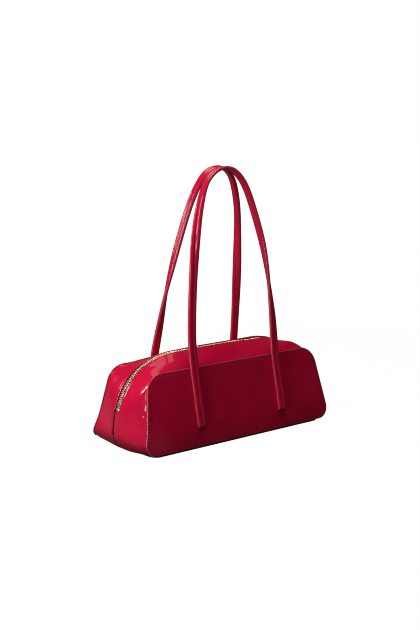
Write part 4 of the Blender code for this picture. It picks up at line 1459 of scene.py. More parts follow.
@dataclass(frozen=True)
class StrapSizes:
    """Sizes of a strap and the shares that shape its loop."""

    width: float = 12.2 * MM
    thickness: float = 5.0 * MM
    spacing: float = 136 * MM
    top: float = 353 * MM
    tab_foot: float = 25.5 * MM
    end_round: float = 2.6 * MM
    sink: float = 0.35 * MM
    # Close stations of a sewn end round its foot, in mm
    foot_marks: tuple[float, ...] = (0, 0.3, 0.7, 1.1, 1.5, 2.0, 2.6, 3.4, 4.6)
    loops: dict[Side, Any] = field(default_factory=lambda: {
        Side.FRONT: ((-1.0, 0.0), (-0.98, 0.17), (-0.83, 0.447), (-0.62, 0.72), (-0.37, 0.905), (-0.11, 0.98),
                     (0.16, 1.0), (0.40, 0.98), (0.62, 0.905), (0.80, 0.754), (0.96, 0.54), (1.02, 0.26),
                     (1.0, 0.0)),
        Side.BACK: ((-1.0, 0.0), (-0.94, 0.14), (-0.83, 0.37), (-0.63, 0.64), (-0.41, 0.85), (-0.15, 0.97),
                    (0.12, 1.0), (0.35, 0.985), (0.55, 0.92), (0.73, 0.765), (0.85, 0.52), (0.94, 0.25),
                    (1.0, 0.0))})
    twists: dict[Side, Any] = field(default_factory=lambda: {
        Side.FRONT: ((0.40, 0.95), (0.0, 0.70)), Side.BACK: ((0.0, 0.62), (0.10, 0.75))})
    # Half of the section as shares of half the width and half the thickness
    face: tuple[tuple[float, float], ...] = (
        (1.0, 0.0), (0.985, 0.3), (0.93, 0.58), (0.83, 0.82), (0.68, 0.96), (0.52, 1.0), (0.36, 0.95),
        (0.22, 0.82), (0.12, 0.66), (0.05, 0.56), (0.0, 0.54))
    under: tuple[tuple[float, float], ...] = (
        (0.985, -0.32), (0.92, -0.62), (0.80, -0.84), (0.60, -0.95), (0.38, -0.96), (0.20, -0.90),
        (0.0, -0.84))


@dataclass(kw_only=True)
class Strap(Assembly):
    """One strap: a sewn end up the panel, the long twisted loop and the other sewn end, in one length."""

    side: Side
    sizes: StrapSizes = StrapSizes()
    bend: float = 9 * MM
    station: float = 2.0 * MM
    smoothing: int = 10
    edge_from: float = 0.9
    # Painted shade along the sewn valley, and paler lobe crowns for wear and painted sheen
    valley: float = 0.3
    valley_width: float = 0.16
    rub_and_sheen: float = 0.2
    rub_and_sheen_bell: Span = (0.5, 0.2)
    foot_fill: float = 5 * MM
    clear: float = 10 * MM

    def __post_init__(self) -> None:
        """Work out the strap's place on the panel and the plane of its loop."""
        shape, sizes, sign = self.shape, self.sizes, self.side.value
        self.out = shape.panel_out(self.side)
        self.slope = np.array([0, -sign * math.sin(shape.lean), math.cos(shape.lean)])
        self.face_foot = np.array([0, sign * shape.base_depth / 2, 0])
        self.pivot = self.on_panel(shape.panel_rise, shape.gap + sizes.thickness) + self.slope * shape.gap / 2
        apex = np.array([0, sign * (sizes.width + shape.gap) / 2, sizes.top - sizes.thickness / 2])
        rise = apex - self.pivot
        span = math.hypot(rise[1], rise[2])
        tip = math.atan2(abs(rise[1]), rise[2]) - math.asin(sizes.thickness / 2 / span)
        self.up = np.array([0, -sign * math.sin(tip), math.cos(tip)])
        self.face = np.array([0, sign * math.cos(tip), math.sin(tip)])
        self.foot = self.pivot + self.up * shape.gap / 2 - self.face * sizes.thickness / 2
        self.rise = float((apex - self.foot) @ self.up)

    def on_panel(self, height: float, proud: float) -> Array:
        """Point on a panel's middle line at a height of its face, standing proud of it."""
        return self.face_foot + self.slope * height / math.cos(self.shape.lean) + self.out * proud

    def _loop(self) -> tuple[Array, Array]:
        """Lay out the free loop, from its left foot to its right foot.

        Returns:
            Stations and outward directions.
        """
        spots = np.array(self.sizes.loops[self.side]) * (self.sizes.spacing / 2, self.rise)
        padded = [Vector(p) for p in np.vstack([2 * spots[0] - spots[1], spots, 2 * spots[-1] - spots[-2]])]
        fine: list[Vector] = []
        for a, b, c, d in zip(padded, padded[1:], padded[2:], padded[3:]):
            fine += interpolate_bezier(b, b + (c - a) / 6, c - (d - b) / 6, c, 41)[:-1]
        line = np.array([p[:2] for p in fine] + [spots[-1]])
        reach = lengths_along(line)
        line = read_along(line, reach, np.linspace(0, reach[-1], int(reach[-1] / self.station) + 1))
        along = unit(np.gradient(line, axis=0))
        along[0], along[-1] = (0, 1), (0, -1)
        apex = int(np.argmax(line[:, 1]))
        height = line[:, 1] / self.rise
        twist = np.empty(len(line))
        for rows, (start, end) in zip((slice(0, apex), slice(apex, None)), self.sizes.twists[self.side]):
            twist[rows] = math.pi / 2 * step(height[rows], start, end)
        right = np.array([1.0, 0, 0])
        inplane = right * -along[:, 1:] + self.up * along[:, :1]
        outward = self.face * np.cos(twist)[:, None] + inplane * np.sin(twist)[:, None]
        return self.foot + right * line[:, :1] + self.up * line[:, 1:], outward

    def _tab(self, hand: int) -> Array:
        """Lay out a sewn end.

        Args:
            hand: -1 for the left end, 1 for the right one.

        Returns:
            Stations from its foot to the top of the panel.
        """
        shape, sizes = self.shape, self.sizes
        rise = (shape.panel_rise - sizes.tab_foot) / math.cos(shape.lean)
        marks = np.concatenate([np.array(sizes.foot_marks) * MM, np.arange(6.4 * MM, rise, self.station)])
        start = self.on_panel(sizes.tab_foot, shape.gap + sizes.thickness / 2 - sizes.sink)
        return start + self.slope * marks[:, None] + np.array([hand * sizes.spacing / 2, 0, 0])

    def _stations(self) -> tuple[Array, Array, Array]:
        """Lay out the whole strap, foot to foot.

        Returns:
            Middles, outward directions, and shares from 0 at each foot to 1 where the strap is full.
        """
        left, right = self._tab(-1), self._tab(1)[::-1]
        loop, outward = self._loop()
        middles = np.vstack([left, loop[1:-1], right])
        sewn = np.tile(self.out, (len(left), 1))
        out = np.vstack([sewn, outward[1:-1], sewn])
        for joint in (len(left), len(middles) - len(right)):
            for _ in range(self.smoothing):
                for table in (middles, out):
                    before, here, after = (table[joint - 7 + k:joint + 7 + k] for k in (-1, 0, 1))
                    table[joint - 7:joint + 7] = (before + 2 * here + after) / 4
        share = np.clip(lengths_along(left) / self.sizes.end_round, 0, 1)
        ends = np.concatenate([share, np.ones(len(loop) - 2), share[::-1]])
        return middles, unit(out), ends

    def _section(self) -> tuple[Array, Array]:
        """Lay out the section.

        Returns:
            Its points as shares of half the width and half the thickness, and a flag on its painted edges.
        """
        face = list(self.sizes.face) + [(-x, y) for x, y in self.sizes.face[-2::-1]]
        under = [(-x, y) for x, y in self.sizes.under] + list(self.sizes.under[-2::-1])
        ring = np.array(face + under)
        return ring, np.abs(ring[:, 0]) > self.edge_from

    def _paint(self, obj: bpy.types.Object, edge: Array) -> None:
        """Give the faces between two points of the painted edges the edge's finish.

        Args:
            obj: The strap.
            edge: A flag a point of the section.
        """
        obj.data.materials.append(Dress.EDGE.material)
        count = len(edge)
        for polygon in obj.data.polygons:
            spread = [v % count for v in polygon.vertices]
            polygon.material_index = int(len(spread) == 4 and all(edge[k] for k in spread))

    def build(self) -> None:
        """Make the strap and its stitches in one length, from the panel up through its top seam into the
        loop.
        """
        middles, out, ends = self._stations()
        along = unit(np.gradient(middles, axis=0))
        across = unit(np.cross(along, out))
        out = unit(np.cross(across, along))
        ring, edge = self._section()
        grow = np.sqrt(1 - (1 - ends) ** 2)
        wide = self.sizes.width / 2 * (0.86 + 0.14 * grow)
        thick = self.sizes.thickness / 2 * (0.45 + 0.55 * grow)
        drop = (thick - self.sizes.thickness / 2)[:, None] * out
        foot = np.minimum(*(np.linalg.norm(middles - middles[k], axis=1) for k in (0, -1)))
        top = ring[:, 1] > 0
        fill = np.clip(1.6 - foot / self.foot_fill, 0, 1)[:, None] * top * (np.abs(ring[:, 0]) < 0.5)
        profile = ring[:, 1] + fill * (0.97 - ring[:, 1])
        points = ((middles + drop)[:, None] + across[:, None] * (wide[:, None] * ring[:, 0])[..., None]
                  + out[:, None] * (thick[:, None] * profile)[..., None])
        word = self.side.word
        obj = new_object(f"{word}_strap_leather", points, loft_faces(*points.shape[:2]), 50.0)
        # Painted shade along the sewn valley of the face
        valley = np.clip(1 - np.abs(ring[:, 0]) / self.valley_width, 0, 1) * top
        write_mark(obj, "seam", np.tile(valley * self.valley, len(points)))
        # Paler crowns of both lobes: wear and painted sheen
        rub_and_sheen = bell(np.abs(ring[:, 0]), *self.rub_and_sheen_bell) * self.rub_and_sheen * top
        write_mark(obj, "rub_and_sheen", np.tile(rub_and_sheen, len(points)))
        nodes = [f"{word}_strap", f"{word}_left_tab", f"{word}_right_tab"]
        self.dress(obj, Dress.LEATHER, "glazed_leather", nodes, None)
        self._paint(obj, edge)
        self._sew(middles + drop, out, thick, ends)
        start, end = (self.pivot + self.slope * reach for reach in (-self.bend, self.bend))
        for piece in self.pieces:
            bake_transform(piece)

    def _sew(self, middles: Array, out: Array, thick: Array, ends: Array) -> None:
        """Sew a row along the valley of each face.

        Args:
            middles: Middles of the stations.
            out: Their outward directions.
            thick: Half the strap's thickness at each.
            ends: Shares from 0 at each foot to 1 where the strap is full.
        """
        sewn = Stitching(pitch=4.3 * MM, length=3.0 * MM, radius=0.30 * MM, dive=0.35 * MM, lift=0.10 * MM)
        whole = ends > 0.8
        for word, sign in (("face", 1), ("under", -1)):
            share = getattr(self.sizes, word)[-1][1]
            path = middles + out * (share * thick)[:, None]
            if sign < 0:
                free = np.linalg.norm((middles - self.pivot) * (0, 1, 1), axis=1) > self.clear
                whole = whole & free & (middles[:, 2] > self.pivot[2])
            obj = sewn.build(f"{self.side.word}_strap_{word}_stitches", path[whole], sign * out[whole])
            self.dress(obj, Dress.RED_THREAD, body=None)


@dataclass(frozen=True)
class Chain:
    """The run of the zip's chain along the ridge."""

    shape: BagShape
    inset: float = 2.15 * MM

    @property
    def profile(self) -> Outline:
        """The right half of the run, on to the foot."""
        return self.shape.centre_profile(self.inset)

    @property
    def end(self) -> float:
        """Length from the middle of the top to the zip's end."""
        return self.profile.length_at(self.shape.walk_at_angle(self.shape.zip_end_angle))

    def frames(self, distances: Array) -> tuple[Array, Array, Array]:
        """Read the run.

        Args:
            distances: Distances from the middle of the top, negative to the left.

        Returns:
            Middles, outward and lengthwise directions.
        """
        distances = np.atleast_1d(np.asarray(distances, float))
        hand = np.where(distances < 0, -1.0, 1.0)
        walks = self.profile.walk_at(np.abs(distances))
        spot, out = self.profile.at(walks), self.profile.normal(walks)
        zero = np.zeros(len(distances))
        middle = np.stack([hand * spot[:, 0], zero, spot[:, 1]], axis=-1)
        outward = np.stack([hand * out[:, 0], zero, out[:, 1]], axis=-1)
        return self.shape.settle(middle), outward, np.cross([0, 1, 0], outward)

    def matrix(self, distance: float, outward: float = 0.0) -> Matrix:
        """The seat of a piece on the chain.

        Args:
            distance: Distance from the middle of the top.
            outward: Height over the chain's middle.

        Returns:
            A seat with its own X along the chain and its Z outward.
        """
        middle, out, along = (rows[0] for rows in self.frames([distance]))
        turn = Matrix(np.column_stack([along, [0, 1, 0], out]).tolist()).to_4x4()
        return Matrix.Translation(Vector(middle + out * outward)) @ turn


@dataclass(frozen=True)
class ZipSizes:
    """Sizes of the zip's chain, stops, slider and pull."""

    pitch: float = 2.54 * MM
    thickness: float = 2.0 * MM
    bead_reach: float = 3.0 * MM
    bead_radius: float = 0.8 * MM
    tape_inset: float = 1.9 * MM
    tape_thickness: float = 0.5 * MM
    tape_outer: float = 11.3 * MM
    tape_inner: float = 2.5 * MM
    tape_tail: float = 11 * MM
    bottom_stop: float = 4.2 * MM
    bottom_gap: float = 0.775 * MM
    top_gap: float = 1.075 * MM
    top_stop: float = 2.2 * MM
    top_stop_width: float = 1.4 * MM
    stop_thickness: float = 2.6 * MM
    slider: float = 12 * MM
    slider_top: float = 2.3 * MM
    wedge_rear: float = 1.4 * MM
    pull_lift: float = 1.3 * MM
    pull_length: float = 27 * MM
    pull_width: float = 7.4 * MM
    pull_thickness: float = 1.2 * MM
    pull_corner: float = 2.4 * MM
    eye_length: float = 4.6 * MM
    eye_width: float = 3.4 * MM
    eye_corner: float = 1.2 * MM
    pull_soft: float = 0.35 * MM
    pull_tilt: float = math.radians(4.5)
    # A tooth from above, as distances along the chain and across it from the middle, in mm
    tooth: tuple[tuple[float, float], ...] = (
        (-0.54, 3.6), (-0.64, 3.0), (-0.62, 1.5), (-0.42, 1.05), (-0.40, 0.6), (-0.52, 0.2), (-0.54, -0.2),
        (-0.42, -0.6), (-0.2, -0.80), (0.2, -0.80), (0.42, -0.6), (0.54, -0.2), (0.52, 0.2), (0.40, 0.6),
        (0.42, 1.05), (0.62, 1.5), (0.64, 3.0), (0.54, 3.6))


@dataclass(kw_only=True)
class Zip(Assembly):
    """The zip: cloth tapes with corded edges, two meshing rows of teeth, stops, slider and pull."""

    sizes: ZipSizes = ZipSizes()
    proud: float = 0.8 * MM
    proud_fade: Span = mm(-90, -40)
    cord_sides: int = 8
    # Height of each ring of a tooth, as a share of half its thickness, and how far the ring shrinks
    dome: tuple[Span, ...] = (
        (-1.0, 0.72), (-0.8, 0.95), (-0.5, 1.0), (0.2, 1.0), (0.55, 0.92), (0.8, 0.76), (0.95, 0.5),
        (1.0, 0.2))

    @property
    def chain(self) -> Chain:
        """The chain's run."""
        return Chain(self.shape)

    def _tape(self, side: Side) -> None:
        """Make one woven tape with the cord along its edge.

        Args:
            side: The tape's side.
        """
        sizes, shape = self.sizes, self.shape
        skin = Skin(shape, side, sizes.tape_inset, shape.panel_thickness + shape.gap)
        last = shape.walk_at_angle(shape.zip_end_angle - sizes.tape_tail / shape.end_radius)
        profile = shape.centre_profile(sizes.tape_inset)
        half = profile.walk_at(np.linspace(0, profile.length_at(last), 130))
        walks = np.concatenate([-half[:0:-1], half])
        reach = np.linspace(sizes.tape_outer, sizes.tape_inner, 12)
        shares = np.stack([skin.share_at(walks, np.full(len(walks), r)) for r in reach], axis=1)
        grid = shape.settle(skin.points(walks, shares))
        if grid_normals(grid)[len(walks) // 2, 6, 2] < 0:
            grid = grid[::-1]
        points, faces = thick_band(grid, sizes.tape_thickness, 3)
        tape = new_object(f"{side.word}_zip_tape_cloth", points, faces)
        self.dress(tape, Dress.TAPE, "zip_cloth", [f"zip_tape_{side.word}"])
        marks = np.linspace(-self.chain.end + 1 * MM, self.chain.end - 1 * MM, 260)
        middle, out, _ = self.chain.frames(marks)
        turn = np.arange(self.cord_sides) * 2 * math.pi / self.cord_sides
        centre = middle + np.array([0, side.value * (sizes.bead_reach - sizes.bead_radius), 0])
        ring = (centre[:, None] + sizes.bead_radius * (np.array([0, 1, 0]) * np.cos(turn)[:, None]
                                                       + out[:, None] * np.sin(turn)[None, :, None]))
        self.dress(new_object(f"{side.word}_zip_cord", ring, loft_faces(*ring.shape[:2])), Dress.CORD)

    def _teeth(self, side: Side) -> None:
        """Make one row of teeth, each with a rounded head that lies between two of the other row.

        Args:
            side: The row's side.
        """
        sizes, chain = self.sizes, self.chain
        outline = np.array(sizes.tooth) * MM
        first = -chain.end + sizes.bottom_stop + sizes.bottom_gap
        last = chain.end - sizes.top_stop - sizes.slider / 2 + sizes.wedge_rear - sizes.top_gap
        offset = 0.0 if side is Side.FRONT else sizes.pitch / 2
        middle, out, along = chain.frames(np.arange(first + offset, last, sizes.pitch))
        middle = middle + out * (self.proud * (1 - step(middle[:, :1], *self.proud_fade)))
        core = outline.mean(axis=0)
        rings = []
        for level, shrink in self.dome:
            flat = core + (outline - core) * (shrink, 1 - (1 - shrink) * 0.8)
            rings.append(middle[:, None] + along[:, None] * flat[:, :1]
                         + np.array([0, side.value, 0]) * flat[:, 1:]
                         + out[:, None] * level * sizes.thickness / 2)
        points = np.stack(rings, axis=1)
        per, single = points.shape[1] * points.shape[2], loft_faces(*points.shape[1:3])
        faces = [tuple(k * per + i for i in face) for k in range(len(points)) for face in single]
        row = new_object(f"{side.word}_zip_teeth", points, faces)
        self.dress(row, Dress.TEETH, "gilt_metal", [f"zip_teeth_{side.word}"])

    def _block(self, name: str, size: Sequence[float], seat: Matrix, node: str) -> None:
        """Make a stop: a metal block with generously rounded edges.

        Args:
            name: The piece's name.
            size: Its length, width and thickness.
            seat: Its seat on the chain.
            node: The CAD node that it stands for.
        """
        mesh = bpy.data.meshes.new(name)
        bm = bmesh.new()
        bmesh.ops.create_cube(bm, size=1.0, matrix=Matrix.Diagonal((*size, 1.0)))
        bmesh.ops.bevel(bm, geom=bm.edges[:], offset=0.28 * min(size), segments=4, profile=0.5,
                        affect="EDGES")
        bm.to_mesh(mesh)
        bm.free()
        mesh.transform(seat)
        mesh.shade_smooth()
        self.dress(link(name, mesh), Dress.GILT, "gilt_metal", [node])

    def _stops(self) -> None:
        """The stop that holds both tapes at the left end, and the two that end the slider's run."""
        sizes, chain = self.sizes, self.chain
        size = (sizes.bottom_stop, 2 * sizes.bead_reach, sizes.stop_thickness)
        self._block("bottom_stop", size, chain.matrix(-chain.end + sizes.bottom_stop / 2), "zip_bottom_stop")
        for side in Side:
            shift = Matrix.Translation((0, side.value * (sizes.bead_reach - sizes.top_stop_width / 2), 0))
            seat = chain.matrix(chain.end - sizes.top_stop / 2) @ shift
            size = (sizes.top_stop, sizes.top_stop_width, sizes.stop_thickness)
            self._block(f"{side.word}_top_stop", size, seat, f"zip_top_stop_{side.word}")

    def _slider(self) -> None:
        """Soften the slider's body and its bail, and dress them."""
        for node in ("slider_body", "slider_bail"):
            obj = self.repaint(node, Dress.GILT)
            obj.modifiers.new("weld", "WELD").merge_threshold = 0.01 * MM
        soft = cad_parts["slider_body"].modifiers.new("edges", "BEVEL")
        soft.width, soft.segments, soft.limit_method = 0.22 * MM, 3, "ANGLE"
        soft.angle_limit = math.radians(40)
        soft.harden_normals = False
        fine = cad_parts["slider_bail"].modifiers.new("round", "SUBSURF")
        fine.levels = fine.render_levels = 1

    def _pull(self) -> None:
        """Make the metal tag under the bail, with a rounded rim round its body and its eye."""
        sizes = self.sizes
        bar = sizes.pull_thickness / 2

        def rounded(low: Sequence[float], high: Sequence[float], radius: float) -> list[Span]:
            """Lay out a rectangle with round corners.

            Args:
                low: Its lowest corner.
                high: Its highest corner.
                radius: Radius of its corners.

            Returns:
                Points round it.
            """
            signs, points = ((1, 1), (-1, 1), (-1, -1), (1, -1)), []
            for turn, (sx, sy) in enumerate(signs):
                cx = (high[0] if sx > 0 else low[0]) - sx * radius
                cy = (high[1] if sy > 0 else low[1]) - sy * radius
                for k in range(9):
                    angle = math.pi / 2 * (turn + k / 8)
                    points.append((cx + radius * math.cos(angle), cy + radius * math.sin(angle)))
            return points

        body = rounded((-bar, -sizes.pull_width / 2), (sizes.pull_length - bar, sizes.pull_width / 2),
                       sizes.pull_corner)
        eye = rounded((bar, -sizes.eye_width / 2), (bar + sizes.eye_length, sizes.eye_width / 2),
                      sizes.eye_corner)
        curve = bpy.data.curves.new("pull_tag", "CURVE")
        curve.dimensions, curve.fill_mode = "2D", "BOTH"
        curve.extrude, curve.bevel_depth, curve.bevel_resolution = bar - sizes.pull_soft, sizes.pull_soft, 3
        curve.offset = -sizes.pull_soft
        for outline in (body, eye):
            spline = curve.splines.new("POLY")
            spline.points.add(len(outline) - 1)
            for point, (x, y) in zip(spline.points, outline):
                point.co = (x, y, 0, 1)
            spline.use_cyclic_u = True
        seat = self.chain.matrix(self._slider_at, sizes.slider_top + sizes.pull_lift)
        carrier = link("pull_outline", curve)
        bpy.context.view_layer.update()
        graph = bpy.context.evaluated_depsgraph_get()
        mesh = bpy.data.meshes.new_from_object(carrier.evaluated_get(graph))
        bpy.data.objects.remove(carrier)
        mesh.transform(seat @ Matrix.Rotation(sizes.pull_tilt, 4, "Y"))
        bm = bmesh.new()
        bm.from_mesh(mesh)
        bmesh.ops.remove_doubles(bm, verts=bm.verts, dist=0.005 * MM)
        bmesh.ops.recalc_face_normals(bm, faces=bm.faces)
        bm.to_mesh(mesh)
        bm.free()
        mesh.shade_smooth()
        mesh.set_sharp_from_angle(angle=math.radians(30))
        mesh.materials.clear()
        self.dress(link("pull_tag", mesh), Dress.GILT, "gilt_metal", ["zip_pull"], Body.PULL.value)

    @property
    def _slider_at(self) -> float:
        """Distance of the slider's middle along the chain."""
        return self.chain.end - self.sizes.top_stop - 0.3 * MM - self.sizes.slider / 2

    def build(self) -> None:
        """Make every part of the zip."""
        for side in Side:
            self._tape(side)
            self._teeth(side)
        self._stops()
        self._slider()
        self._pull()


@dataclass(kw_only=True)
class Base(Assembly):
    """The leather sole with a sewn line inside its edge, and the boards inside the bag."""

    across: int = 120
    up: int = 44
    margin: float = 0.7 * MM
    stitch_inset: float = 4.0 * MM
    stitch_height: float = 0.18 * MM
    # Reach, bow at the front and at the back, and corner radius of each end, by its hand
    half: dict[int, float] = field(default_factory=lambda: {-1: 148.5 * MM, 1: 153.5 * MM})
    bows: dict[int, Span] = field(default_factory=lambda: {-1: (4 * MM, 3 * MM), 1: (26 * MM, 26 * MM)})
    corners: dict[int, float] = field(default_factory=lambda: {-1: 12 * MM, 1: 2 * MM})
    # Inset, height and share of painted shade, from the underside to the top, in mm
    edge: tuple[Colour, ...] = (
        (1.1, 0.0, 0.1), (0.55, 0.0, 0.3), (0.16, 0.22, 0.5), (0.0, 0.7, 0.6), (0.0, 1.1, 0.6),
        (0.16, 1.58, 0.5), (0.55, 1.8, 0.3), (1.1, 1.8, 0.1))

    def _end(self, hand: int, y: Array, inset: float) -> Array:
        """Follow a bowed end of the sole.

        Args:
            hand: -1 for the left end, 1 for the right one.
            y: Places across the sole.
            inset: How far the line is set in from the edge.

        Returns:
            x at each place.
        """
        share = y / (self.shape.base_depth / 2)
        bow = np.where(y < 0, *self.bows[hand])
        radius = self.corners[hand]
        into = np.clip((np.abs(y) + inset - self.shape.base_depth / 2) / radius + 1, 0, 1)
        rounding = radius * (1 - np.sqrt(1 - into ** 2))
        return hand * (self.half[hand] - bow * share ** 2 - rounding - inset)

    def _loop(self, inset: float, height: float) -> Array:
        """Follow the sole's edge from its back left corner along the back.

        Args:
            inset: How far the loop is set in from the edge.
            height: Its height.

        Returns:
            The points of the closed loop.
        """
        half = self.shape.base_depth / 2 - self.margin - inset
        y = half * np.sin(np.linspace(math.pi / 2, -math.pi / 2, self.up + 1))
        left, right = (np.column_stack([self._end(hand, y, inset), y]) for hand in (-1, 1))
        back = np.linspace(left[0], right[0], self.across + 1)
        front = np.linspace(right[-1], left[-1], self.across + 1)
        flat = np.vstack([back[:-1], right[:-1], front[:-1], left[:0:-1]])
        return np.column_stack([flat, np.full(len(flat), height)])

    def build(self) -> None:
        """Make the sole and its stitches, and dress the boards."""
        loops = [self._loop(inset * MM, height * MM) for inset, height, _ in self.edge]
        points, faces = closed_rings(loops, self.across, self.up)
        obj = new_object("sole_leather", points, faces)
        # Painted shade round the sole's edge and a little over its faces
        shades = [shade for _, _, shade in self.edge]
        write_mark(obj, "seam", over_rings(shades, len(loops[0]), len(points), 0.05))
        # Random paler patches of wear
        write_mark(obj, "rub_and_sheen", np.clip(waves(points, 20 * MM, 60 * MM, 3) * 0.3, 0, 1))
        self.dress(obj, Dress.SOLE, "sole_leather", ["base_panel"])
        line = self._loop(self.stitch_inset, self.stitch_height)
        line = np.vstack([line, line[:1]])
        reach = lengths_along(line)
        path = read_along(line, reach, np.linspace(0, reach[-1], 2000))
        down = np.tile([0.0, 0.0, -1.0], (len(path), 1))
        flush = Stitching(pitch=3.4 * MM, lift=-0.1 * MM, dive=0.2 * MM)
        self.dress(flush.build("sole_stitches", path, down), Dress.DARK_THREAD)
        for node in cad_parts:
            if node == "base_board" or node.endswith(("stiffener", "anchor")):
                self.repaint(node, Dress.BOARD)


@dataclass(kw_only=True)
class Lining(Assembly):
    """The cloth lining in two halves and its slip pocket."""

    inset: float = 3.4 * MM
    depth: float = 5.3 * MM
    cloth: float = 0.8 * MM
    pocket_cloth: float = 0.7 * MM
    across: int = 96
    up: int = 34
    mouth: float = 7.3 * MM
    closed: float = 0.9 * MM
    slack: float = 0.35 * MM
    slack_waves: Span = mm(30, 70)
    pocket_slack: float = 1.6 * MM
    pocket_ripple: float = 0.3 * MM

    @staticmethod
    def _thicken(obj: bpy.types.Object, thickness: float) -> None:
        """Give a single sheet its thickness."""
        wall = obj.modifiers.new("cloth", "SOLIDIFY")
        wall.thickness, wall.offset = thickness, 0.0

    def _half(self, side: Side) -> None:
        """Make one half: a shallow pan that is open towards the zip.

        Args:
            side: The half's side.
        """
        shape = self.shape
        skin = Skin(shape, side, self.inset, self.depth)
        half = skin.seam.even_walks(self.across, self.up)
        walks = np.concatenate([half, -half[-2:0:-1]])
        start = 2 * len(half) - 2 - self.across // 2
        slot = shape.walk_at_angle(shape.zip_end_angle)
        mouth = np.where(np.abs(walks) < slot, self.mouth, self.closed)
        for _ in range(6):
            mouth = (np.roll(mouth, 1) + 2 * mouth + np.roll(mouth, -1)) / 4
        ends = skin.share_at(walks, mouth)
        loops = [skin.points(walks, (ends * share)[:, None])[:, 0] for share in np.linspace(1, 0, 12)]
        loops = [np.roll(loop, -start, axis=0) for loop in loops]
        points, faces = closed_rings(loops, self.across, self.up, (False, True))
        middle = np.array([0, 0, 50 * MM])
        slack = np.abs(waves(points, *self.slack_waves, 77 + side.value) * self.slack)
        points = points + unit(middle - points) * slack[:, None]
        obj = new_object(f"{side.word}_lining_cloth", shape.settle(points), faces)
        self._thicken(obj, self.cloth)
        self.dress(obj, Dress.TWILL, "lining_cloth", [f"{side.word}_lining"])

    def _pocket(self) -> None:
        """Make the slip pocket on the back lining, a little slack at its mouth."""
        low, high = (np.array(corner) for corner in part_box("slip_pocket"))
        columns, rows = 52, 26
        u, v = np.meshgrid(np.linspace(0, 1, columns), np.linspace(0, 1, rows))
        x = low[0] + (high[0] - low[0]) * u
        z = low[2] + (high[2] - low[2]) * v
        corner = np.clip(1 - v / 0.16, 0, 1) ** 2 * 0.05
        x = x + (0.5 - u) * 2 * corner * (high[0] - low[0]) * (np.abs(u - 0.5) > 0.4)
        slack = np.sin(u * math.pi) * v ** 2 * self.pocket_slack + np.sin(u * 9) * v * self.pocket_ripple
        y = high[1] - 0.4 * MM - (z - low[2]) * math.tan(self.shape.lean) - slack
        faces = [(r * columns + c, r * columns + c + 1, (r + 1) * columns + c + 1, (r + 1) * columns + c)
                 for r in range(rows - 1) for c in range(columns - 1)]
        obj = new_object("slip_pocket_cloth", np.stack([x, y, z], axis=-1), faces)
        self._thicken(obj, self.pocket_cloth)
        self.dress(obj, Dress.TWILL, "lining_cloth", ["slip_pocket"])

    def build(self) -> None:
        """Make both halves and the pocket."""
        for side in Side:
            self._half(side)
        self._pocket()


# Studio


@dataclass(frozen=True)
class Lamp:
    """A soft square lamp."""

    name: str
    place: Colour
    aim: Colour
    size: tuple[float, float]
    power: float
    colour: Colour = (1.0, 1.0, 1.0)

    def build(self) -> None:
        """Hang the lamp, facing its aim."""
        light = bpy.data.lights.new(self.name, "AREA")
        light.shape, light.size, light.size_y = "RECTANGLE", *self.size
        light.energy, light.color = self.power, self.colour
        obj = link(self.name, light)
        obj.location = self.place
        obj.rotation_euler = (Vector(self.aim) - Vector(self.place)).to_track_quat("-Z", "Y").to_euler()


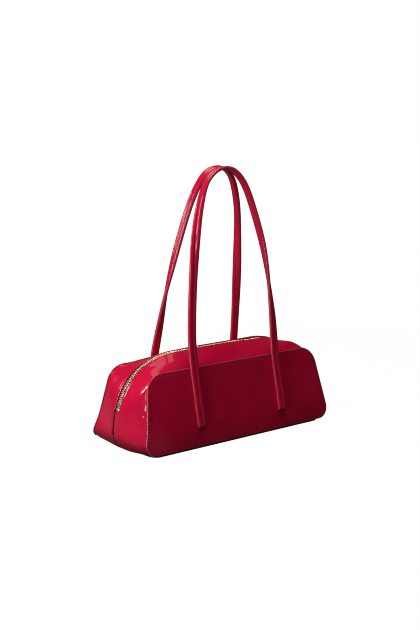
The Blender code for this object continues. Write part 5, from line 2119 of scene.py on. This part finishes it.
@dataclass(frozen=True)
class Studio:
    """A pale floor, a white backdrop behind it and soft lamps."""

    ambient: float = 0.09
    floor_half: float = 8.0
    floor_colour: float = 0.05
    floor_glow: Span = (0.96, 1.0)
    floor_reach: Span = (0.5, 1.4)
    reflected: Span = (0.012, 0.045)
    behind: Colour = (0.61, 0.79, 0.0)
    behind_span: Span = (0.2, 0.95)
    high_span: Span = (0.25, 0.6)
    sharpness: float = 1.0
    lamps: tuple[Lamp, ...] = (
        Lamp("key", (-0.64, 0.33, 0.39), (-0.14, -0.03, 0.08), (0.10, 0.18), 1.2),
        Lamp("high", (-0.82, 0.62, 0.68), (-0.14, -0.03, 0.15), (0.18, 0.28), 2.4),
        Lamp("strip", (-0.95, -0.20, 0.27), (-0.05, 0.0, 0.09), (0.24, 0.55), 4.6),
        Lamp("overhead", (-0.05, -0.05, 1.35), (0.0, 0.0, 0.1), (0.8, 0.8), 11.5),
        Lamp("rim", (0.23, 0.72, 0.96), (0.0, 0.0, 0.1), (0.60, 0.42), 0.6),
    )

    def _world(self) -> None:
        """White to the camera, a dimmed backdrop in reflections, and a low plain light elsewhere."""
        world = bpy.data.worlds.new("studio")
        bpy.context.scene.world = world
        world.use_nodes = True
        g = Graph(world.node_tree)
        direction = g.node("ShaderNodeTexCoord", output="Generated")
        behind = g.along(direction, self.behind).ramp(*self.behind_span)
        high = g.node("ShaderNodeSeparateXYZ", None, {0: direction}, "Z").ramp(*self.high_span)
        seen, through, glossy = (g.ray(kind) for kind in ("Camera", "Transmission", "Glossy"))
        dark, bright = self.reflected
        reflected = dark + behind * (1 - high) * (bright - dark)
        plain = self.ambient + glossy * (reflected - self.ambient)
        strength = plain + seen.larger(through) * (1 - plain)
        light = g.node("ShaderNodeBackground", None, {"Color": (1, 1, 1, 1), "Strength": strength})
        g.finish(light, "ShaderNodeOutputWorld")

    def _floor(self) -> None:
        """A wide pale floor that keeps the bag's shadow."""
        points = np.array([(x, y, 0) for x, y in ((-1, -1), (1, -1), (1, 1), (-1, 1))]) * self.floor_half
        floor = new_object("studio_floor", points, [(0, 1, 2, 3)])
        material, g = new_material("pale_floor", (0.8, 0.8, 0.8))
        paper = g.noise(g.place(), 0.5 * MM)
        matt = g.node("ShaderNodeBsdfPrincipled", None, {
            "Base Color": (self.floor_colour,) * 3 + (1.0,),
            "Roughness": 0.9,
            "Specular IOR Level": 0.1,
            "Normal": g.bump(paper, 0.05 * MM, 0.2),
        })
        reach = g.node("ShaderNodeVectorMath", {"operation": "LENGTH"}, {0: g.place()}, "Value")
        near, far = self.floor_glow
        lift = near + reach.ramp(*self.floor_reach) * (far - near)
        strength = g.ray("Camera").larger(g.ray("Glossy") * self.reflected[1]) * lift
        glow = g.node("ShaderNodeEmission", None, {"Strength": strength})
        g.finish(g.node("ShaderNodeAddShader", None, {0: matt, 1: glow}))
        floor.data.materials.append(material)

    def build(self) -> None:
        """Light the studio and lay the floor."""
        self._world()
        self._floor()
        for lamp in self.lamps:
            lamp.build()
        bpy.context.scene.view_settings.view_transform = "Standard"
        bpy.context.scene.cycles.filter_width = self.sharpness


@dataclass(frozen=True)
class Viewpoint:
    """The photograph's point of view."""

    place: Colour = (-0.8634, -1.1155, 0.4334)
    azimuth: float = math.radians(-37.47)
    pitch: float = math.radians(-11.16)
    lens: float = 61.25

    def build(self) -> None:
        """Set up the scene's camera."""
        data = bpy.data.cameras.new("camera")
        data.lens, data.sensor_width = self.lens, 36.0
        data.clip_start, data.clip_end = 0.05, 40.0
        camera = link("camera", data)
        camera.location = self.place
        camera.rotation_euler = (math.pi / 2 + self.pitch, 0, self.azimuth)
        bpy.context.scene.camera = camera


def write_sizes() -> None:
    """Bring the view layer up to date."""
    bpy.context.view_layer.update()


def main() -> None:
    """Build the studio and every assembly of the bag in order."""
    logging.basicConfig(level=logging.INFO, format="%(message)s")
    shape = BagShape()
    Studio().build()
    Viewpoint().build()
    assemblies: list[Assembly] = [Base(shape=shape), Lining(shape=shape), Zip(shape=shape)]
    for side in Side:
        assemblies += [kind(shape=shape, side=side) for kind in (Gusset, Panel, Strap)]
    for assembly in assemblies:
        assembly.build()
        for piece in assembly.pieces:
            LOG.info("%s: %s, %d faces", type(assembly).__name__, piece.name, len(piece.data.polygons))
    write_sizes()


if __name__ == "__main__":
    main()
